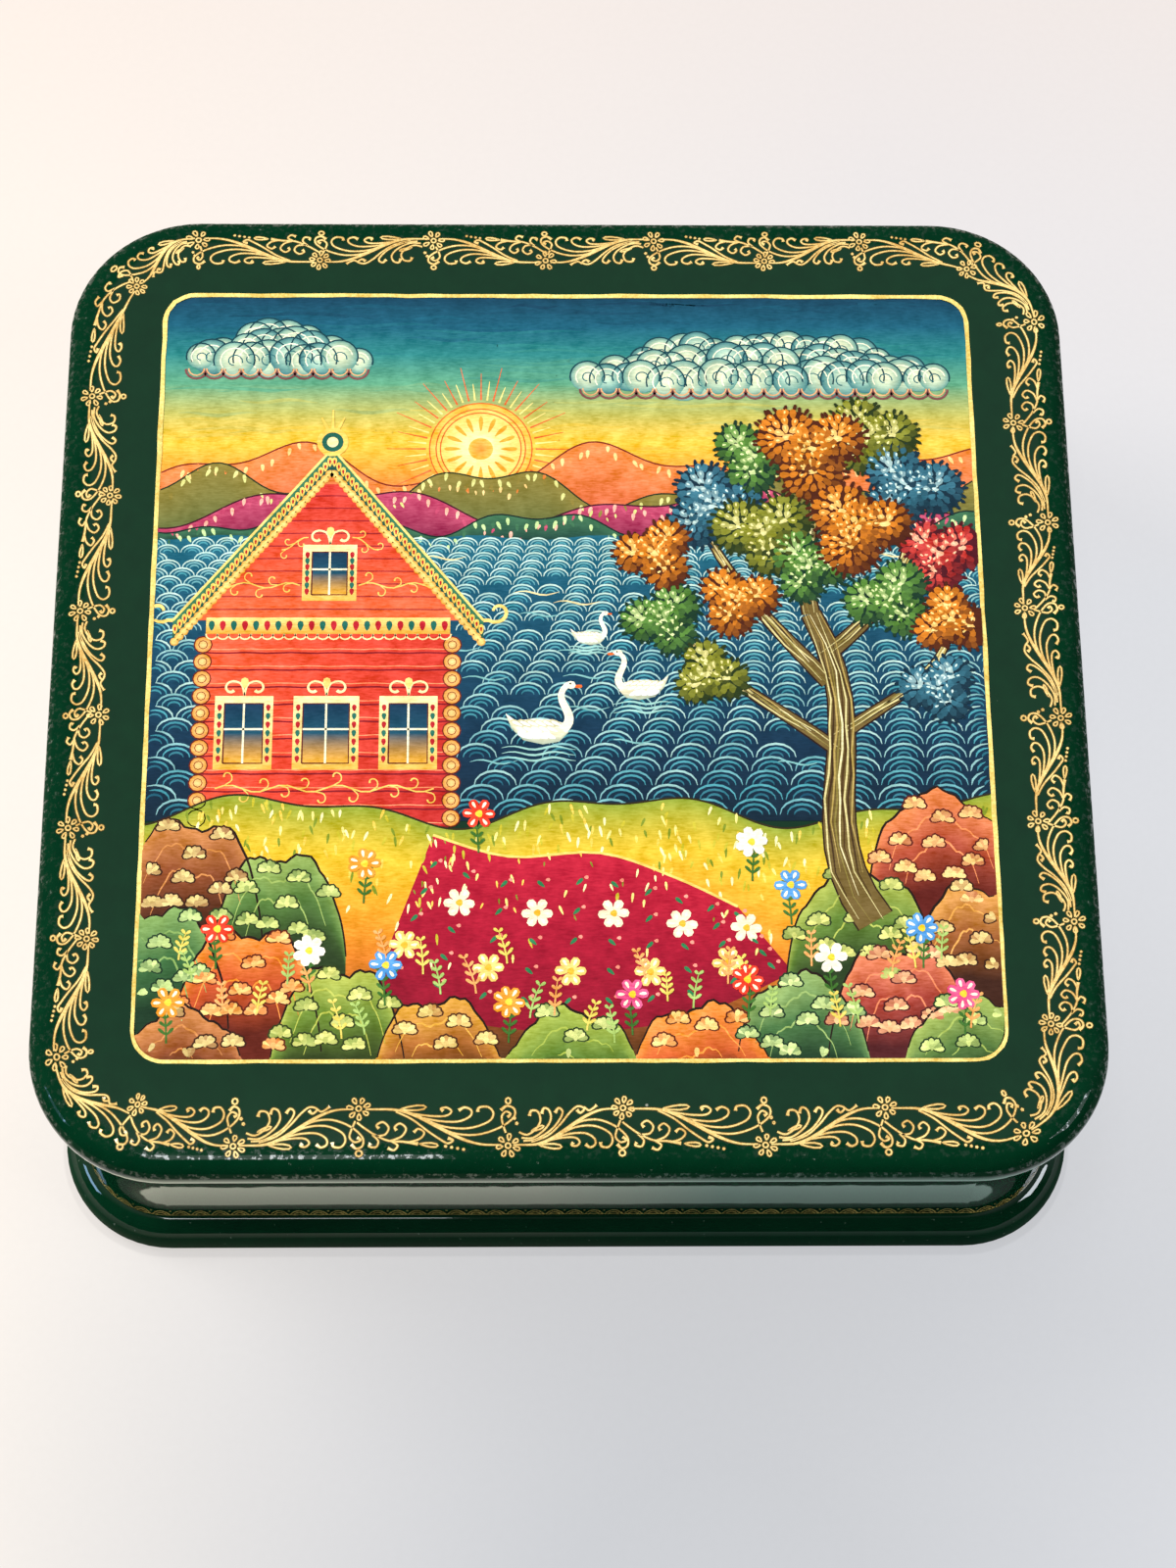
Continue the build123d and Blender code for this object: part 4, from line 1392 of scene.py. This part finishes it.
# Mounds: x, y, radius, height for its radius, and colours from the foot up and of the leaves
MOUNDS = (
    (-50, -30, 9, 0.8, ("3a1c10", "8a4a2c", "d08a54", "ecd48c")),
    (-38, -33, 8, 0.7, ("26381a", "56783a", "9cb060", "dfe28a")),
    (49, -26, 9, 0.8, ("5a1a14", "b0503a", "ec9060", "ffd88e")),
    (38, -36, 9, 0.7, ("26381a", "5f7c34", "b0b858", "e6e084")),
    (53, -39, 8, 0.9, ("3a1c10", "9a5a30", "e0a058", "f4d890")),
    (-54, -42, 9, 0.8, ("16321e", "3f6a3c", "8aa860", "d2e292")),
    (-42, -45, 9, 0.8, ("5a1c10", "c8542c", "f2954c", "ffd484")),
    (43, -47, 9, 0.75, ("4a1a1c", "a8483c", "e88a64", "ffcc94")),
    (-30, -49, 8, 0.75, ("2c3a16", "6a8434", "b8bc58", "e8e288")),
    (30, -50, 8, 0.75, ("14301c", "4a7040", "98b068", "dce89a")),
    (-17, -52, 8, 0.6, ("4a2410", "a8642c", "e4aa54", "f8e090")),
    (17, -53, 9, 0.55, ("5a2010", "cc5c2c", "f49c50", "ffdc8c")),
    (0, -54, 9, 0.6, ("26381a", "5c7a30", "a8b450", "e8e894")),
    (-50, -54, 8, 0.7, ("3a1c10", "8a4a2c", "d08a54", "ecd48c")),
    (52, -53, 9, 0.7, ("1c341a", "56743a", "a4b45c", "dce68c")),
)
FLOWERS = (
    (-46, -37), (-34, -40), (-24, -42), (-8, -47), (8, -46), (23, -44), (34, -41), (46, -37), (-52, -47),
    (51, -46), (-12, -21), (24, -25), (29, -31), (-27, -28),
)


def paint_foreground(p):
    paint_meadow(p)
    paint_flower_bed(p)
    for i, (x, y, r, squash, colours) in enumerate(sorted(MOUNDS, key=lambda mound: -mound[1])):
        p.hillock(x, y, r, squash, colours, MEADOW_HIGH + 0.014 + 0.0022 * i)
    for i, (x, y) in enumerate(FLOWERS):
        petal = ("e8402c", "fff2d8", "5f9ad0", "f49a3c", "e8648a")[i % 5]
        p.sprig(x, y - 5.5, 5.5, 0.1 * (1 if i % 2 else -1), "3f6a2c", FLOWERS_HIGH)
        p.blossom(x, y, 2.0, petal, "ffd24c", FLOWERS_HIGH + 0.008, petals=6 + i % 2)
    for i in range(30):
        x = -52 + 104 * i / 29 + p.near(0, 1.2)
        code = ("e8d06a", "a8c06a", "f0a868")[i % 3]
        p.sprig(x, p.near(-47, 6), p.near(4.2, 0.8), p.near(0, 0.35), code, FLOWERS_HIGH + 0.006, 4)


# How narrow a dab is at its middle, as a share of its width
DAB_NARROW = 0.72


def dab_tree():
    """Sets a dab of paint on every point, turned, stretched and coloured as the point says."""
    tree, given, out = geometry_tree("dabs", Dab="Object", Material="Material")
    into = {"Points": given["Geometry"], "Instance": lent(tree, given["Dab"])}
    into["Rotation"] = vector(tree, Z=named(tree, "turn"))
    into["Scale"] = named(tree, "size", "FLOAT_VECTOR")
    placed = put(tree, "GeometryNodeInstanceOnPoints", into).outputs[0]
    return end_tree(tree, placed, given["Material"], out)


def dab_shape():
    """One dab, a drop of paint 1 mm long and wide, narrower at its start and raised in the middle."""
    sides = 9
    points = []
    for i in range(sides):
        t = 2 * pi * i / sides
        points.append((0.5 * cos(t) * MM, 0.5 * sin(t) * (DAB_NARROW + (1 - DAB_NARROW) * cos(t)) * MM, 0))
    points.append((0.08 * MM, 0, 0.005 * MM))
    faces = [(i, (i + 1) % sides, sides) for i in range(sides)] + [tuple(reversed(range(sides)))]
    return new_object("dab", new_mesh("dab", points, faces=faces))


def add_picture(brush):
    p = Picture(11)
    for paint in (
        paint_sky, paint_clouds, paint_far_hills, paint_lake,
        paint_house, paint_swans, paint_tree, paint_foreground,
    ):
        paint(p)
    mesh = new_mesh("picture_ground", p.points, faces=p.faces)
    mark(mesh, "paint", "FLOAT_COLOR", p.paint)
    mesh.materials.append(TEMPERA)
    ground = new_object("picture_ground", mesh)
    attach(ground, "lid")
    seed = p.lines.seed("picture_lines")
    grow("picture_lines", seed, brush, "lid", "painting", Thickness=0.02, Material=TEMPERA)

    x, y, length, width, turn, paint, height = zip(*p.dabs)
    mesh = new_mesh("picture_dabs", [(a * MM, b * MM, (LID_TOP + c) * MM) for a, b, c in zip(x, y, height)])
    mark(mesh, "size", "FLOAT_VECTOR", [v for a, b in zip(length, width) for v in (a, b / DAB_NARROW, 1)])
    mark(mesh, "turn", "FLOAT", turn)
    mark(mesh, "paint", "FLOAT_COLOR", paint)
    seed, shape = new_object("picture_dabs", mesh), dab_shape()
    grow("picture_dabs", seed, dab_tree(), "lid", "painting", Dab=shape, Material=TEMPERA)
    bpy.data.objects.remove(shape)


# The little chain at the foot of the walls

CHAIN_LINK = 2.7
CHAIN_TALL = 1.3
CHAIN_LOW = 0.45
FOOT_HALF = FOOT_HIGH[0]
FOOT_HEIGHT = FOOT_LOW[2]
FOOT_CORNER = 11.8
FOOT_SLOPE = -0.19


def chain_link():
    """One link: two arches, one in the other, on a base line, with a dot beside them."""
    ink = Strokes()
    ink.add([(k * CHAIN_LINK / 4, CHAIN_LOW) for k in range(5)], 0.1)
    for tall, inset in ((CHAIN_TALL, 0.1), (CHAIN_TALL * 0.55, 0.6)):
        span = CHAIN_LINK - 2 * inset
        arch = [(inset + span * k / 8, CHAIN_LOW + tall * sin(pi * k / 8) ** 0.8) for k in range(9)]
        ink.add(arch, lambda k: 0.09 + 0.05 * k)
    ink.add(ring((0, CHAIN_LOW + CHAIN_TALL * 0.95), 0.12, 5), 0.07, closed=True)
    return ink


def chain_tree():
    """Repeats a link in a row, paints it and wraps the row round the foot of the coved walls."""
    numbers = ("Pitch", "Path Half", "Path Corner", "Foot", "Slope", "Proud", "Thickness")
    sizes = dict.fromkeys(numbers, "Float")
    tree, given, out = geometry_tree("foot_chain", Link="Object", Count="Int", **sizes, Material="Material")
    into = {"Count": given["Count"], "Offset": vector(tree, X=given["Pitch"])}
    row = put(tree, "GeometryNodeMeshLine", into).outputs[0]
    into = {"Points": row, "Instance": lent(tree, given["Link"])}
    placed = put(tree, "GeometryNodeInstanceOnPoints", into).outputs[0]
    stroke = painted(tree, realized(tree, placed), given["Thickness"])
    place = position(tree)
    lean = maths(tree, "MULTIPLY_ADD", place["Y"], given["Slope"], given["Proud"])
    outward = maths(tree, "ADD", lean, place["Z"])
    height = maths(tree, "ADD", place["Y"], given["Foot"])
    laid = laid_round(tree, stroke, given, place["X"], outward, height)
    return end_tree(tree, laid, given["Material"], out)


def add_chain():
    round_foot = 8 * (FOOT_HALF - FOOT_CORNER) + 2 * pi * FOOT_CORNER
    count = round(round_foot / CHAIN_LINK)
    link = chain_link().seed("chain_link")
    seed = new_object("chain_seed", new_mesh("chain_seed", []))
    grow(
        "foot_chain", seed, chain_tree(), "box", "gold_paint",
        **{"Path Half": FOOT_HALF * MM, "Path Corner": FOOT_CORNER * MM},
        Link=link, Count=count, Pitch=round_foot / count * MM, Foot=FOOT_HEIGHT * MM,
        Slope=FOOT_SLOPE, Proud=0.05 * MM, Thickness=0.1, Material=SHADED_GOLD_CHAIN,
    )
    bpy.data.objects.remove(link)


add_camera()
add_room()
add_table()
add_lamp("window", (-1.2, 0.6, 1.2), (0.9, 0.9), 44, (0.97, 0.98, 1), mirrored=False)
add_lamp("pane", (-1.4, -0.3, 1.1), (0.5, 0.35), 7, (0.4, 0.66, 1))
add_lamp("ceiling", (-0.15, 0.0, 1.3), (0.5, 0.2), 5, (0.96, 0.98, 1))
add_lamp("fill", (1.1, -0.3, 1.1), (0.5, 0.5), 12, (0.88, 0.94, 1))
dress_nodes()
add_scroll()
BRUSH = stroke_tree()
add_frame_line(BRUSH)
add_picture(BRUSH)
add_chain()

bpy.context.scene.view_settings.view_transform = "Standard"
